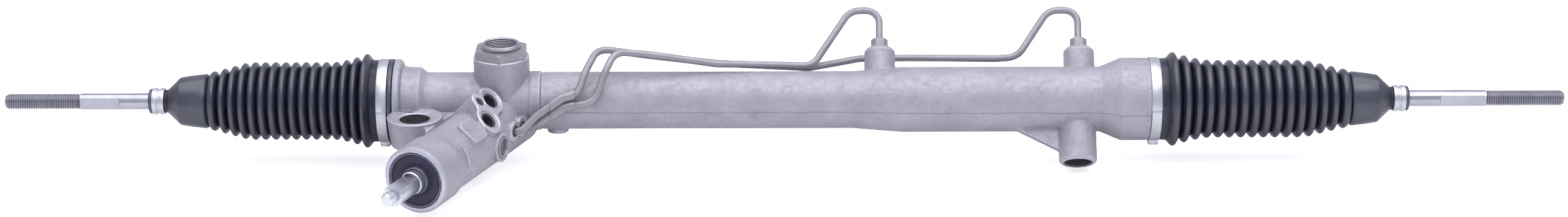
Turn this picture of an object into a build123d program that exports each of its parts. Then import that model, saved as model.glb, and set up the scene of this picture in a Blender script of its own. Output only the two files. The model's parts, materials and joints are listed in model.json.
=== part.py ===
"""Hydraulic power steering rack: housing, rack, pinion with rotary valve, tie rods and boots.

Millimetres. +X runs along the rack, +Z along the yoke and the left mounting bore, and the
steering input leans out towards -Y. The origin is the centre of the left mounting bore.
Stations along the rack are X values. Stations along the pinion count from the tooth mesh,
and grow towards the steering input.
"""

import math
import os

from build123d import *

# --- Rack line -----------------------------------------------------------------------------
RACK_Y = 47.0  # rack centre line behind the left mounting bore
RACK_BELOW_TOP = 3.5  # top face of the left mount below the rack centre line
MOUNT_HEIGHT = 40.0
RACK_Z = MOUNT_HEIGHT / 2 + RACK_BELOW_TOP
HOUSING_LEFT_END = -36.0
HOUSING_RIGHT_END = 656.0
RACK_TRAVEL = 144.0
RACK_OFFSET = 10.0  # the rack stands this far to the right of mid travel
TRAVEL_RIGHT = RACK_TRAVEL / 2 - RACK_OFFSET
TRAVEL_LEFT = RACK_TRAVEL / 2 + RACK_OFFSET
STOP_GAP = 1.0  # left between a ball socket and the housing at full lock

# --- Running fits --------------------------------------------------------------------------
SHAFT_GAP = 0.05  # radial gap of a bar in its bearing
SEAT_GAP = 0.02  # radial gap of a part pushed into its bore
FREE_GAP = 1.0  # radial gap where parts pass without touching
OVERCUT = 1.0  # cuts run this far past the faces they open

# --- Rack and pinion teeth -----------------------------------------------------------------
TOOTH_MODULE = 2.0
PINION_TEETH = 8
PINION_LEAN = 22.0  # pinion away from square to the rack, which is also its helix angle
PRESSURE_ANGLE = 20.0
PROFILE_SHIFT = 0.5
ROOT_CLEARANCE = 0.25  # in modules
TIP_CUT = 0.25  # taken off the pointed pinion tips
BACKLASH = 0.16
GEAR_WIDTH = 32.0
RACK_R = 13.0
RACK_FLAT = 10.5  # rack centre to the tooth tips
TOOTH_RUN_OUT = 9.0  # toothed length past the mesh at each lock

# --- Pinion housing ------------------------------------------------------------------------
YOKE_X = 73.0
TUBE_R = 25.4
BOOT_SEAT_R = 33.5
BOOT_SEAT_LENGTH = 14.5
FLANGE_R = 37.2
FLANGE_LENGTH = 6.5
FLANGE_EDGE = 1.0
COLLAR_R = 31.0
COLLAR_LENGTH = 16.0
JOINT_X = 108.0
JOINT_BEAD_R = 26.3
JOINT_BEAD_EDGE = 1.0
JOINT_BEAD_LENGTH = 10.0
SPIGOT_R = 21.5
SPIGOT_LENGTH = 10.0
RACK_BORE_R = 15.0
TOWER_R = 27.3
TOWER_TOP = 157.0
TOWER_FOOT = -24.0
CAP_BOSS_R = 22.0
CAP_BOSS_END = -46.0
YOKE_BOSS_R = 24.7
YOKE_BOSS_TOP = 42.3
LEFT_BORE_R = 13.2
LEFT_EYE_R = 23.5
EYE_CUP_R = 20.5  # cupped ends of the left bore
EYE_CUP_DEPTH = 3.5
PAD_HEIGHT = 32.0  # port pad above the pinion axis
PORT_R = 7.2
PORT_DEPTH = 11.0
PORT_FACE_R = 9.6
PORT_FACE_DEPTH = 1.6
BOLT_HOLE_R = 4.25
BOLT_HOLE_DEPTH = 16.0
PRESSURE_PORT = (41.8, -16.2)  # along the pinion and down the pad
RETURN_PORT = (64.5, -2.9)
PORT_BOLT = (57.1, -20.6)
PRESSURE_DRILL = (47.5, -14.0)
DRILL_R = 2.0
DRILL_DEPTH = 20.0
TOWER_CHAMFER = 1.5
SOCKET_RISE = 1.5  # sockets and plug boss stand out of the tower by this much
SOCKET_LIFT = 4.0  # their centres above the pinion axis
SOCKET_DEPTH = 7.0
VALVE_PLUG_R = 9.5
VALVE_PLUG_HEAD = 2.5
PLUG_BOSS_R = 13.0
PLUG_BOSS_LIFT = -3.0
WEB_TOP = 15.5
WEB_BOTTOM = -15.0
WEB_SIDE = 20.0
WEB_REACH = 125.0
BLOCK_PLACE = (91.0, 52.0)  # raised block: station on the pinion axis, degrees above level
BLOCK_SIZE = (25.0, 22.0)
BLOCK_TOP = 30.2
BLOCK_CORNER = 5.0
POCKET_PLACE = (129.0, 17.0)
POCKET_SIZE = (24.0, 21.0)
POCKET_FLOOR = 24.6
POCKET_CORNER = 1.5
PAD_EDGE = 13.5  # metal round each port centre
BOLT_EDGE = 9.0
PAD_WAIST_R = 7.0

# --- Yoke ----------------------------------------------------------------------------------
YOKE_R = 16.5
YOKE_TOP = 30.5
YOKE_FOOT = 3.0
YOKE_RING_LEVEL = 22.0
YOKE_RING_DEPTH = 1.5
YOKE_RING_WIDTH = 2.2
YOKE_POCKET_R = 6.0
YOKE_POCKET_DEPTH = 6.0
YOKE_SPRING_BORE = 7.0
YOKE_SPRING_THICK = 1.2
LINER_HALF = 12.0
PLUG_CHAMFER = 1.0
LOCKNUT_CHAMFER = 1.5
YOKE_CLEARANCE = 0.4  # between the liner and the back of the rack
LINER = 1.0
PLUG_R = 17.0
PLUG_TOP = 54.0
PLUG_BOTTOM = 33.2
PLUG_WALL = 3.2
PLUG_FLOOR = 7.0
LOCKNUT_ACROSS = 43.6
LOCKNUT_HEIGHT = 7.2
LOCKNUT_CORNER = LOCKNUT_ACROSS / math.sqrt(3)

# --- Valve and input shaft -----------------------------------------------------------------
LOWER_JOURNAL_R = 8.5
LOWER_BEARING_R = 15.0
LOWER_BEARING_TOP = -20.0
LOWER_BEARING_END = -31.0
PINION_END = -39.5
PINION_THREAD_R = 6.0
CAP_R = 18.0
CAP_LENGTH = 5.0
GEAR_BORE_R = 12.6
UPPER_JOURNAL_R = 12.0
UPPER_BEARING_R = 16.0
UPPER_BEARING = (22.0, 34.0)
PINION_SEAL = (36.0, 43.0)
VALVE_BORE_R = 19.0
VALVE_BORE = (46.0, 118.0)
SLEEVE_R = 18.6
SLEEVE = (56.0, 114.0)
SPOOL_R = 11.0
SLEEVE_SEAT_R = 15.0  # shoulder of the pinion that carries the sleeve
SLEEVE_SEAT = 12.0
SLEEVE_SEAT_GAP = 0.5
TORSION_BAR_FOOT = 4.0  # sunk into the pinion past its teeth
SLEEVE_RING_WIDTH = 2.4
SLEEVE_RING_COUNT = 4
SLEEVE_RING_DEPTH = 1.6
OIL_GROOVE = 5.0
OIL_HOLE_R = 1.6
TORSION_BAR_R = 3.0
INPUT_BORE_R = 4.2
MOUTH_BORE_R = 20.5
INPUT_BEARING = (119.0, 131.0)
INPUT_SEAL = (134.0, 142.0)
SNAP_RING = (143.0, 144.8)
DUST_SEAT_R = 24.7
DUST_SEAT = 148.0
INPUT_R = 10.3
INPUT_COLLAR_R = 10.0
INPUT_COLLAR_END = 164.0
INPUT_BAR_R = 9.2
INPUT_BAR_END = 204.0
INPUT_FLAT = 5.8  # flat of the input bar from its axis
INPUT_PILOT_R = 5.6
INPUT_END = 215.0
TWIST_GAP = 0.5
PILOT_GROOVE = 1.2
PILOT_GROOVE_LENGTH = 3.0
FLAT_START = 2.0
SPOOL_SLOTS = (76.0, 100.0)
SPOOL_SLOT_COUNT = 6
SPOOL_SLOT_WIDTH = 3.0
SPOOL_SLOT_DEPTH = 1.0
TORSION_BAR_END = 202.0
TORSION_HEAD = 8.0
TORSION_PIN = 196.0
TORSION_PIN_R = 1.9
TORSION_PIN_HALF = 5.4
SNAP_GROOVE = 1.2
DUST_RECESS = 1.2
DUST_RIM = 1.5
DUST_LIP_END = 158.5
PINION_NUT_R = 11.5
PINION_NUT_HEIGHT = 7.0
CAP_KEY_R = 6.0
BEARING_BALL_R = 2.3
BEARING_BALLS = 10
BALL_TRACK_R = 11.8
BEARING_LAND = 1.1

# --- Cylinder ------------------------------------------------------------------------------
CYLINDER_R = 28.9
SWELL = (383.0, 426.0)
CYLINDER_END = 602.0
BELL_R = 36.7
BELL = (620.6, 642.2)
CYLINDER_BORE_R = 21.0
CYLINDER_BORE_START = 386.0
LINE_BORE_R = 16.5
INNER_SEAL_LENGTH = 9.0
BUSHING_LENGTH = 14.0
OUTER_SEAL_LENGTH = 7.0
STOP_RING_LENGTH = 7.0
END_BORE_R = 24.0
STOP_RING_BORE_R = 14.0
PISTON_LENGTH = 14.0
PISTON_RING_WIDTH = 4.0
PISTON_RING_DEPTH = 2.5
PISTON_GAP = 0.5  # radial gap between the piston and the cylinder
PORT_LEAN = 37.0  # cylinder ports lean back from +Z, and the right mount leans forward
PORT_LEFT_X = 407.8
PORT_RIGHT_X = 585.2
PORT_BOSS_R = 13.8
PORT_BOSS_TOP = 48.0
PORT_BOSS_SHOULDER = 3.5
CYLINDER_PORT_R = 5.5
NUT_ACROSS = 13.0
NUT_HEIGHT = 8.0
RIGHT_MOUNT_X = 581.7
RIGHT_MOUNT_R = 16.7
RIGHT_MOUNT_END = 59.3
RIGHT_MOUNT_EDGE = 2.0
RIGHT_BORE_R = 12.0
RIGHT_BORE_DEPTH = 24.0
LOWER_BOSS_X = 121.5
LOWER_BOSS_R = 9.5
LOWER_BOSS_END = 28.8
GUSSET_THICK = 8.0
GUSSET_REACH = 37.0
GUSSET_TOP = 48.0
PORT_THREAD = 14.0
NUT_THREAD = 10.0

# --- Transfer tubes ------------------------------------------------------------------------
PIPE_R = 3.2
PIPE_BEND_R = 16.0
LOOP_WIDTH = 26.0
SOCKET_LEAD = 5.0
FRONT_APPROACH = 31.5  # height from which each tube rises to its loop
REAR_APPROACH = 39.5
PIPE_TOP = 83.5  # top of the loops above the rack centre line
PORT_RISE = 1.54  # slope of the tubes towards their loops
BEND_SHARE = 0.45  # part of a straight run that one bend may use
SOCKET_R = 9.0
FRONT_SOCKET = 20.0
REAR_SOCKET = 33.5
PLUG_SOCKET = 57.0
CLIP_WALL = 1.2
CLIP_X = 118.0
CLIP_LENGTH = 21.0
CLIP_CORNERS = 6  # tube corners up to the first one past the clip

# --- Ball joints and tie rods --------------------------------------------------------------
BALL_R = 13.5
BALL_GAP = 0.1
BALL_SEAT_WALL = 2.0
SOCKET_OUT_R = 20.0
SOCKET_INNER_LENGTH = 24.0
SOCKET_MOUTH = 8.0
SOCKET_CHAMFER = 1.5
SOCKET_ACROSS = 34.0
SOCKET_FLAT_REACH = 14.0
WASHER_R = 19.0
ROD_TIP = 1.5
WASHER = 2.5
RACK_THREAD_R = 8.0
RACK_THREAD_LENGTH = 8.0
NECK_R = 5.5
NECK_LENGTH = 17.0
ROD_R = 7.25
ROD_THREAD_R = 7.0
LEFT_ROD_LENGTH = 242.1
RIGHT_ROD_LENGTH = 248.2
LEFT_THREAD = 66.6
RIGHT_THREAD = 69.1
LEFT_FLATS = 34.6
RIGHT_FLATS = 40.5
FLAT_ACROSS = 12.0

# --- Boots ---------------------------------------------------------------------------------
PLEATS = 16
BOOT_WALL = 1.4
PLEAT_R = 34.6
PLEAT_DEPTH = 5.6
BIG_END_RISE = 7.1  # the pleat beside the cuff stands this much higher
BIG_END_PLEATS = 3.4
SMALL_END_DROP = 8.0  # the pleat beside the bell is this much lower
SMALL_END_STEP = 2.4
BIG_PLEAT_REACH = 11.0  # first pleat past the housing's end
LEFT_PLEATS = 135.0  # length from the first pleat to the last
RIGHT_PLEATS = 151.0
CUFF_WALL = 2.8
CUFF_R = BOOT_SEAT_R + CUFF_WALL
CUFF_LIP_R = CUFF_R + 0.9
CUFF_LIP = 4.0
LEFT_CUFF = 14.0  # cuff on the housing, from the housing's end
RIGHT_CUFF = 13.4
CLAMP_INSET = 3.7  # clamp centre inside the housing's end
BELL_START = 8.0  # from the last pleat
BELL_BIG_R = 24.2
BELL_SMALL_R = 21.2
BELL_LENGTH = 23.0
FLARE_LENGTH = 11.0
BOOT_NECK_R = 10.3
BOOT_NECK_LENGTH = 16.0
NECK_GAP = 0.3  # between the boot's neck and the tie rod, or its clip
CLAMP_WIDTH = 9.0
CLAMP_THICK = 0.9
CLAMP_EAR = (7.0, 8.0, 3.6)
EAR_ANGLE = 20.0  # clamp ears, forward from straight down
CLIP_WIDTH = 11.0
CLIP_INSET = 3.0
CUFF_FREE = 3.0  # plain cuff past the housing's end
CLIP_THICK = 1.2

RING_STATIONS = [
    SLEEVE[0] + 1 + step * (SLEEVE[1] - SLEEVE[0] - 2 - SLEEVE_RING_WIDTH) / (SLEEVE_RING_COUNT - 1)
    for step in range(SLEEVE_RING_COUNT)
]
OIL_ROWS = [(a + b + SLEEVE_RING_WIDTH) / 2 for a, b in zip(RING_STATIONS[1:], RING_STATIONS[2:])]

os.makedirs("parts", exist_ok=True)

# --- Reference frames ----------------------------------------------------------------------
LEAN = math.radians(PINION_LEAN)
PITCH = math.pi * TOOTH_MODULE
PITCH_R = PINION_TEETH * TOOTH_MODULE / 2 / math.cos(LEAN)
PINION_DROP = RACK_FLAT - TOOTH_MODULE + PITCH_R + PROFILE_SHIFT * TOOTH_MODULE
MESH = Vector(YOKE_X, RACK_Y, RACK_Z - PINION_DROP)
PINION_DIR = Vector(-math.sin(LEAN), -math.cos(LEAN), 0)
PINION_SIDE = Vector(math.cos(LEAN), -math.sin(LEAN), 0)
UP = Vector(0, 0, 1)
RACK_AXIS = Axis((0, RACK_Y, RACK_Z), (1, 0, 0))
RACK_SIDE = Plane((0, RACK_Y, RACK_Z), x_dir=(1, 0, 0), z_dir=(0, -1, 0))
PINION_AXIS = Axis(MESH, PINION_DIR)
PINION_SECTION = Plane(MESH, x_dir=PINION_DIR, z_dir=PINION_SIDE * -1)
YOKE_AXIS = Axis((YOKE_X, RACK_Y, RACK_Z), (0, 0, 1))
YOKE_SECTION = Plane((YOKE_X, RACK_Y, RACK_Z), x_dir=(1, 0, 0), z_dir=(0, -1, 0))
PORT_TILT = math.radians(PORT_LEAN)
PORT_DIR = Vector(0, math.sin(PORT_TILT), math.cos(PORT_TILT))
PORT_BACK = Vector(0, math.cos(PORT_TILT), -math.sin(PORT_TILT))
EAR_DIR = Vector(0, -math.sin(math.radians(EAR_ANGLE)), -math.cos(math.radians(EAR_ANGLE)))
EAR_PLANE = Plane(
    Vector(0, RACK_Y, RACK_Z) + EAR_DIR * (CUFF_R + CLAMP_THICK / 2),
    x_dir=(1, 0, 0),
    z_dir=EAR_DIR,
)
GUSSET_PLANE = Plane((0, RACK_Y, RACK_Z), x_dir=(1, 0, 0), z_dir=PORT_BACK)
PAD_NORMAL = (PINION_SIDE + UP).normalized()
PAD_PLANE = Plane(MESH, x_dir=PINION_DIR, z_dir=PAD_NORMAL)


def rack_plane(station):
    """Plane across the rack centre line, facing +X."""
    return Plane((station, RACK_Y, RACK_Z), x_dir=(0, 1, 0), z_dir=(1, 0, 0))


def pinion_plane(station):
    """Plane across the pinion axis, facing the steering input."""
    return Plane(MESH + PINION_DIR * station, x_dir=PINION_SIDE, z_dir=PINION_DIR)


def yoke_plane(height):
    """Level plane on the yoke axis, at a height above the rack centre line."""
    return Plane((YOKE_X, RACK_Y, RACK_Z + height), x_dir=(1, 0, 0), z_dir=(0, 0, 1))


def port_plane(station, height):
    """Plane across a cylinder port's axis, at a height from the rack centre line."""
    foot = Vector(station, RACK_Y, RACK_Z)
    return Plane(foot + PORT_DIR * height, x_dir=(1, 0, 0), z_dir=PORT_DIR)


def mount_plane(height):
    """Plane across the right mount's axis, facing away from the rack centre line."""
    foot = Vector(RIGHT_MOUNT_X, RACK_Y, RACK_Z)
    return Plane(foot - PORT_DIR * height, x_dir=(1, 0, 0), z_dir=PORT_DIR * -1)


def pad_plane(centre, height):
    """Plane level with the port pad, over a point given along the pinion and down the pad."""
    along = PINION_DIR * centre[0] + PAD_PLANE.y_dir * centre[1]
    return Plane(MESH + along + PAD_NORMAL * height, x_dir=PINION_DIR, z_dir=PAD_NORMAL)


def side_plane(station, radius, rise=0.0):
    """Plane on the tower's right-hand side, facing away from the pinion axis."""
    foot = MESH + PINION_DIR * station + UP * rise
    return Plane(foot + PINION_SIDE * radius, x_dir=PINION_DIR, z_dir=PINION_SIDE)


def pin_plane(height):
    """Level plane across the torsion bar's pin, at a height above the pinion axis."""
    return Plane(MESH + PINION_DIR * TORSION_PIN + UP * height, x_dir=PINION_SIDE, z_dir=UP)


def tower_plane(station, lift, radius):
    """Plane on the tower, facing away from its axis and lifted above level on its right-hand side."""
    normal = PINION_SIDE * math.cos(math.radians(lift)) + UP * math.sin(math.radians(lift))
    return Plane(MESH + PINION_DIR * station + normal * radius, x_dir=PINION_DIR, z_dir=normal)


# --- Shared operations ---------------------------------------------------------------------
def bar(plane, radius, length, mode=Mode.ADD):
    """Round bar that starts on the plane and runs along its normal."""
    with BuildSketch(plane) as section:
        Circle(radius)
    extrude(section.sketch, amount=length, mode=mode)


def ring(plane, outer, inner, length, mode=Mode.ADD):
    """Round ring that starts on the plane and runs along its normal."""
    with BuildSketch(plane) as section:
        Circle(outer)
        Circle(inner, mode=Mode.SUBTRACT)
    extrude(section.sketch, amount=length, mode=mode)


def turn(plane, axis, outline, mode=Mode.ADD):
    """Solid of revolution with a straight-sided outline of (station, radius) points."""
    with BuildSketch(plane) as section:
        with BuildLine():
            Polyline(*outline, close=True)
        make_face()
    revolve(section.sketch, axis=axis, mode=mode)


def turn_on_rack(outline, mode=Mode.ADD):
    """Solid of revolution about the rack centre line."""
    turn(RACK_SIDE, RACK_AXIS, outline, mode)


def turn_on_pinion(outline, mode=Mode.ADD):
    """Solid of revolution about the pinion axis."""
    turn(PINION_SECTION, PINION_AXIS, outline, mode)


def turn_on_port(station, outline, mode=Mode.ADD):
    """Solid of revolution about the axis of a cylinder port, from (height, radius) points."""
    foot = Vector(station, RACK_Y, RACK_Z)
    turn(Plane(foot, x_dir=PORT_DIR, z_dir=PORT_BACK), Axis(foot, PORT_DIR), outline, mode)


def finish(builder, name):
    """Labels a finished piece and writes its STEP file."""
    builder.part.label = name
    export_step(builder.part, f"parts/{name}.step")


# --- Rack bar ------------------------------------------------------------------------------
LEFT_FACE = HOUSING_LEFT_END - STOP_GAP - TRAVEL_RIGHT - WASHER
RIGHT_FACE = HOUSING_RIGHT_END + STOP_GAP + TRAVEL_LEFT + WASHER
LEFT_BALL = LEFT_FACE - SOCKET_INNER_LENGTH
RIGHT_BALL = RIGHT_FACE + SOCKET_INNER_LENGTH
TEETH_START = YOKE_X - TRAVEL_RIGHT - TOOTH_RUN_OUT
TEETH_END = YOKE_X + TRAVEL_LEFT + TOOTH_RUN_OUT
GROOVES_LEFT = math.floor((YOKE_X - TEETH_START) / PITCH)
GROOVES_RIGHT = math.floor((TEETH_END - YOKE_X) / PITCH)
GROOVE_XS = [YOKE_X + step * PITCH for step in range(-GROOVES_LEFT, GROOVES_RIGHT + 1)]
FLANK = math.tan(math.radians(PRESSURE_ANGLE))
REFERENCE = RACK_FLAT - TOOTH_MODULE
GROOVE_ROOT = REFERENCE - TOOTH_MODULE * (1 + ROOT_CLEARANCE)
GROOVE_MOUTH = RACK_FLAT + OVERCUT
GROOVE_HALF = (PITCH / 2 + BACKLASH) / 2


def groove_half(level):
    """Half the width of a tooth space at a level below the rack centre line."""
    return GROOVE_HALF + (level - REFERENCE) * FLANK


with BuildPart() as rack_bar:
    bar(rack_plane(LEFT_FACE + WASHER), RACK_R, RIGHT_FACE - LEFT_FACE - 2 * WASHER)
    for end_plane in (rack_plane(LEFT_FACE - RACK_THREAD_LENGTH), rack_plane(RIGHT_FACE - WASHER)):
        bar(end_plane, RACK_THREAD_R, RACK_THREAD_LENGTH + WASHER)
    with BuildSketch(RACK_SIDE):
        with Locations(((TEETH_START + TEETH_END) / 2, -RACK_FLAT)):
            Rectangle(TEETH_END - TEETH_START, RACK_R, align=(Align.CENTER, Align.MAX))
    extrude(amount=RACK_R, both=True, mode=Mode.SUBTRACT)
    with BuildSketch(RACK_SIDE):
        with Locations([(x, 0) for x in GROOVE_XS]):
            Polygon(
                (-groove_half(GROOVE_MOUTH), -GROOVE_MOUTH),
                (groove_half(GROOVE_MOUTH), -GROOVE_MOUTH),
                (groove_half(GROOVE_ROOT), -GROOVE_ROOT),
                (-groove_half(GROOVE_ROOT), -GROOVE_ROOT),
                align=None,
            )
    extrude(amount=RACK_R, both=True, mode=Mode.SUBTRACT)
finish(rack_bar, "rack_bar")

# The piston stands clear of both ports at full lock.
PISTON_X = (PORT_LEFT_X + PORT_RIGHT_X) / 2 + RACK_OFFSET
with BuildPart() as rack_piston:
    turn_on_rack(
        [
            (PISTON_X - PISTON_LENGTH / 2, RACK_R + SEAT_GAP),
            (PISTON_X - PISTON_LENGTH / 2, CYLINDER_BORE_R - PISTON_GAP),
            (PISTON_X - PISTON_RING_WIDTH / 2, CYLINDER_BORE_R - PISTON_GAP),
            (PISTON_X - PISTON_RING_WIDTH / 2, CYLINDER_BORE_R - PISTON_RING_DEPTH),
            (PISTON_X + PISTON_RING_WIDTH / 2, CYLINDER_BORE_R - PISTON_RING_DEPTH),
            (PISTON_X + PISTON_RING_WIDTH / 2, CYLINDER_BORE_R - PISTON_GAP),
            (PISTON_X + PISTON_LENGTH / 2, CYLINDER_BORE_R - PISTON_GAP),
            (PISTON_X + PISTON_LENGTH / 2, RACK_R + SEAT_GAP),
        ]
    )
finish(rack_piston, "rack_piston")

with BuildPart() as piston_ring:
    ring(
        rack_plane(PISTON_X - PISTON_RING_WIDTH / 2),
        CYLINDER_BORE_R - SHAFT_GAP,
        CYLINDER_BORE_R - PISTON_RING_DEPTH + SEAT_GAP,
        PISTON_RING_WIDTH,
    )
finish(piston_ring, "piston_ring")

# --- Pinion --------------------------------------------------------------------------------
NORMAL_ANGLE = math.radians(PRESSURE_ANGLE)
TRANSVERSE_ANGLE = math.atan(math.tan(NORMAL_ANGLE) / math.cos(LEAN))
BASE_R = PITCH_R * math.cos(TRANSVERSE_ANGLE)
TIP_R = PITCH_R + TOOTH_MODULE * (1 + PROFILE_SHIFT) - TIP_CUT
ROOT_R = PITCH_R - TOOTH_MODULE * (1 + ROOT_CLEARANCE - PROFILE_SHIFT)
THICKNESS = TOOTH_MODULE * (math.pi / 2 + 2 * PROFILE_SHIFT * math.tan(NORMAL_ANGLE)) / math.cos(LEAN)
HELIX_RATE = math.tan(LEAN) / PITCH_R  # radians per millimetre of gear width
TOOTH_STEP = 2 * math.pi / PINION_TEETH
FLANK_POINTS = 5


def involute(angle):
    """Involute function of a pressure angle."""
    return math.tan(angle) - angle


def tooth_half_angle(radius):
    """Half the angle that a pinion tooth covers at a radius outside the base circle."""
    pressure = math.acos(min(1.0, BASE_R / radius))
    return THICKNESS / 2 / PITCH_R + involute(TRANSVERSE_ANGLE) - involute(pressure)


def polar(radius, angle):
    """Point of the pinion's section, with its angle counted from +X of the section."""
    return (radius * math.cos(angle), radius * math.sin(angle))


def flank(tooth_angle, side):
    """Points of one involute flank, from the base circle to the tip."""
    radii = [BASE_R + (TIP_R - BASE_R) * step / (FLANK_POINTS - 1) for step in range(FLANK_POINTS)]
    return [polar(radius, tooth_angle + side * tooth_half_angle(radius)) for radius in radii]


# A tooth points straight at the rack in the middle of the gear's width.
FIRST_TOOTH = math.pi / 2 + HELIX_RATE * GEAR_WIDTH / 2
with BuildSketch(pinion_plane(-GEAR_WIDTH / 2)) as gear_section:
    with BuildLine():
        for tooth in range(PINION_TEETH):
            centre = FIRST_TOOTH + tooth * TOOTH_STEP
            rising = flank(centre, -1)
            falling = flank(centre, 1)[::-1]
            root_angle = tooth_half_angle(BASE_R)
            next_rise = centre + TOOTH_STEP - root_angle
            Spline(*rising)
            ThreePointArc(rising[-1], polar(TIP_R, centre), falling[0])
            Spline(*falling)
            Line(falling[-1], polar(ROOT_R, centre + root_angle))
            ThreePointArc(
                polar(ROOT_R, centre + root_angle),
                polar(ROOT_R, centre + TOOTH_STEP / 2),
                polar(ROOT_R, next_rise),
            )
            Line(polar(ROOT_R, next_rise), polar(BASE_R, next_rise))
    make_face()
PINION_GEAR = Solid.extrude_linear_with_rotation(
    gear_section.sketch.faces()[0],
    MESH - PINION_DIR * (GEAR_WIDTH / 2),
    PINION_DIR * GEAR_WIDTH,
    -math.degrees(HELIX_RATE * GEAR_WIDTH),
)
with BuildPart() as pinion:
    add(PINION_GEAR)
    turn_on_pinion(
        [
            (PINION_END, 0),
            (PINION_END, PINION_THREAD_R),
            (LOWER_BEARING_END, PINION_THREAD_R),
            (LOWER_BEARING_END, LOWER_JOURNAL_R),
            (-GEAR_WIDTH / 2, LOWER_JOURNAL_R),
            (-GEAR_WIDTH / 2, 0),
        ]
    )
    turn_on_pinion(
        [
            (GEAR_WIDTH / 2, 0),
            (GEAR_WIDTH / 2, UPPER_JOURNAL_R),
            (PINION_SEAL[1] + OVERCUT, UPPER_JOURNAL_R),
            (PINION_SEAL[1] + OVERCUT, SLEEVE_SEAT_R),
            (SLEEVE[0] + SLEEVE_SEAT, SLEEVE_SEAT_R),
            (SLEEVE[0] + SLEEVE_SEAT, SPOOL_R + FREE_GAP),
            (SLEEVE[0], SPOOL_R + FREE_GAP),
            (SLEEVE[0], TORSION_BAR_R + SEAT_GAP),
            (GEAR_WIDTH / 2 + TORSION_BAR_FOOT, TORSION_BAR_R + SEAT_GAP),
            (GEAR_WIDTH / 2 + TORSION_BAR_FOOT, 0),
        ]
    )
finish(pinion, "pinion")

with BuildPart() as valve_sleeve:
    turn_on_pinion(
        [
            (SLEEVE[0], SLEEVE_SEAT_R + SEAT_GAP),
            (SLEEVE[0], SLEEVE_R),
            (SLEEVE[1], SLEEVE_R),
            (SLEEVE[1], SPOOL_R + SHAFT_GAP),
            (SLEEVE[0] + SLEEVE_SEAT + SLEEVE_SEAT_GAP, SPOOL_R + SHAFT_GAP),
            (SLEEVE[0] + SLEEVE_SEAT + SLEEVE_SEAT_GAP, SLEEVE_SEAT_R + SEAT_GAP),
        ]
    )
    for station in RING_STATIONS:
        ring(
            pinion_plane(station),
            SLEEVE_R + FREE_GAP,
            SLEEVE_R - SLEEVE_RING_DEPTH,
            SLEEVE_RING_WIDTH,
            mode=Mode.SUBTRACT,
        )
    for station in OIL_ROWS:
        ring(
            pinion_plane(station - OIL_GROOVE / 2),
            SLEEVE_R + FREE_GAP,
            SLEEVE_R - SLEEVE_RING_DEPTH,
            OIL_GROOVE,
            mode=Mode.SUBTRACT,
        )
        for turn_angle in (0, 90, 180, 270):
            radial = PINION_SIDE.rotate(PINION_AXIS, turn_angle)
            bar(
                Plane(MESH + PINION_DIR * station, z_dir=radial),
                OIL_HOLE_R,
                SLEEVE_R,
                mode=Mode.SUBTRACT,
            )
finish(valve_sleeve, "valve_sleeve")

with BuildPart() as sleeve_rings:
    for station in RING_STATIONS:
        ring(
            pinion_plane(station),
            VALVE_BORE_R - SEAT_GAP,
            SLEEVE_R - SLEEVE_RING_DEPTH + SEAT_GAP,
            SLEEVE_RING_WIDTH,
        )
finish(sleeve_rings, "sleeve_rings")

with BuildPart() as pinion_nut:
    with BuildSketch(pinion_plane(LOWER_BEARING_END)):
        RegularPolygon(PINION_NUT_R, 6)
        Circle(PINION_THREAD_R + SEAT_GAP, mode=Mode.SUBTRACT)
    extrude(amount=-PINION_NUT_HEIGHT)
finish(pinion_nut, "pinion_nut")

BALL_TRACK = (LOWER_BEARING_TOP + LOWER_BEARING_END) / 2
with BuildPart() as lower_bearing_inner:
    ring(
        pinion_plane(LOWER_BEARING_END),
        BALL_TRACK_R - BEARING_LAND,
        LOWER_JOURNAL_R + SEAT_GAP,
        LOWER_BEARING_TOP - LOWER_BEARING_END,
    )
    with Locations(pinion_plane(BALL_TRACK)):
        Torus(BALL_TRACK_R, BEARING_BALL_R + SHAFT_GAP, mode=Mode.SUBTRACT)
finish(lower_bearing_inner, "lower_bearing_inner")

with BuildPart() as lower_bearing_outer:
    ring(
        pinion_plane(LOWER_BEARING_END),
        LOWER_BEARING_R - SEAT_GAP,
        BALL_TRACK_R + BEARING_LAND,
        LOWER_BEARING_TOP - LOWER_BEARING_END,
    )
    with Locations(pinion_plane(BALL_TRACK)):
        Torus(BALL_TRACK_R, BEARING_BALL_R + SHAFT_GAP, mode=Mode.SUBTRACT)
finish(lower_bearing_outer, "lower_bearing_outer")

with BuildPart() as lower_bearing_balls:
    with Locations(pinion_plane(BALL_TRACK)):
        with PolarLocations(BALL_TRACK_R, BEARING_BALLS):
            Sphere(BEARING_BALL_R)
finish(lower_bearing_balls, "lower_bearing_balls")

with BuildPart() as upper_bearing:
    ring(
        pinion_plane(UPPER_BEARING[0]),
        UPPER_BEARING_R - SEAT_GAP,
        UPPER_JOURNAL_R + SHAFT_GAP,
        UPPER_BEARING[1] - UPPER_BEARING[0],
    )
finish(upper_bearing, "upper_bearing")

with BuildPart() as pinion_seal:
    ring(
        pinion_plane(PINION_SEAL[0]),
        UPPER_BEARING_R - SEAT_GAP,
        UPPER_JOURNAL_R + SHAFT_GAP,
        PINION_SEAL[1] - PINION_SEAL[0],
    )
finish(pinion_seal, "pinion_seal")

with BuildPart() as lower_cap:
    bar(pinion_plane(CAP_BOSS_END), CAP_R - SEAT_GAP, CAP_LENGTH)
    bar(pinion_plane(CAP_BOSS_END), CAP_KEY_R, CAP_LENGTH / 2, mode=Mode.SUBTRACT)
finish(lower_cap, "lower_cap")

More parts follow.
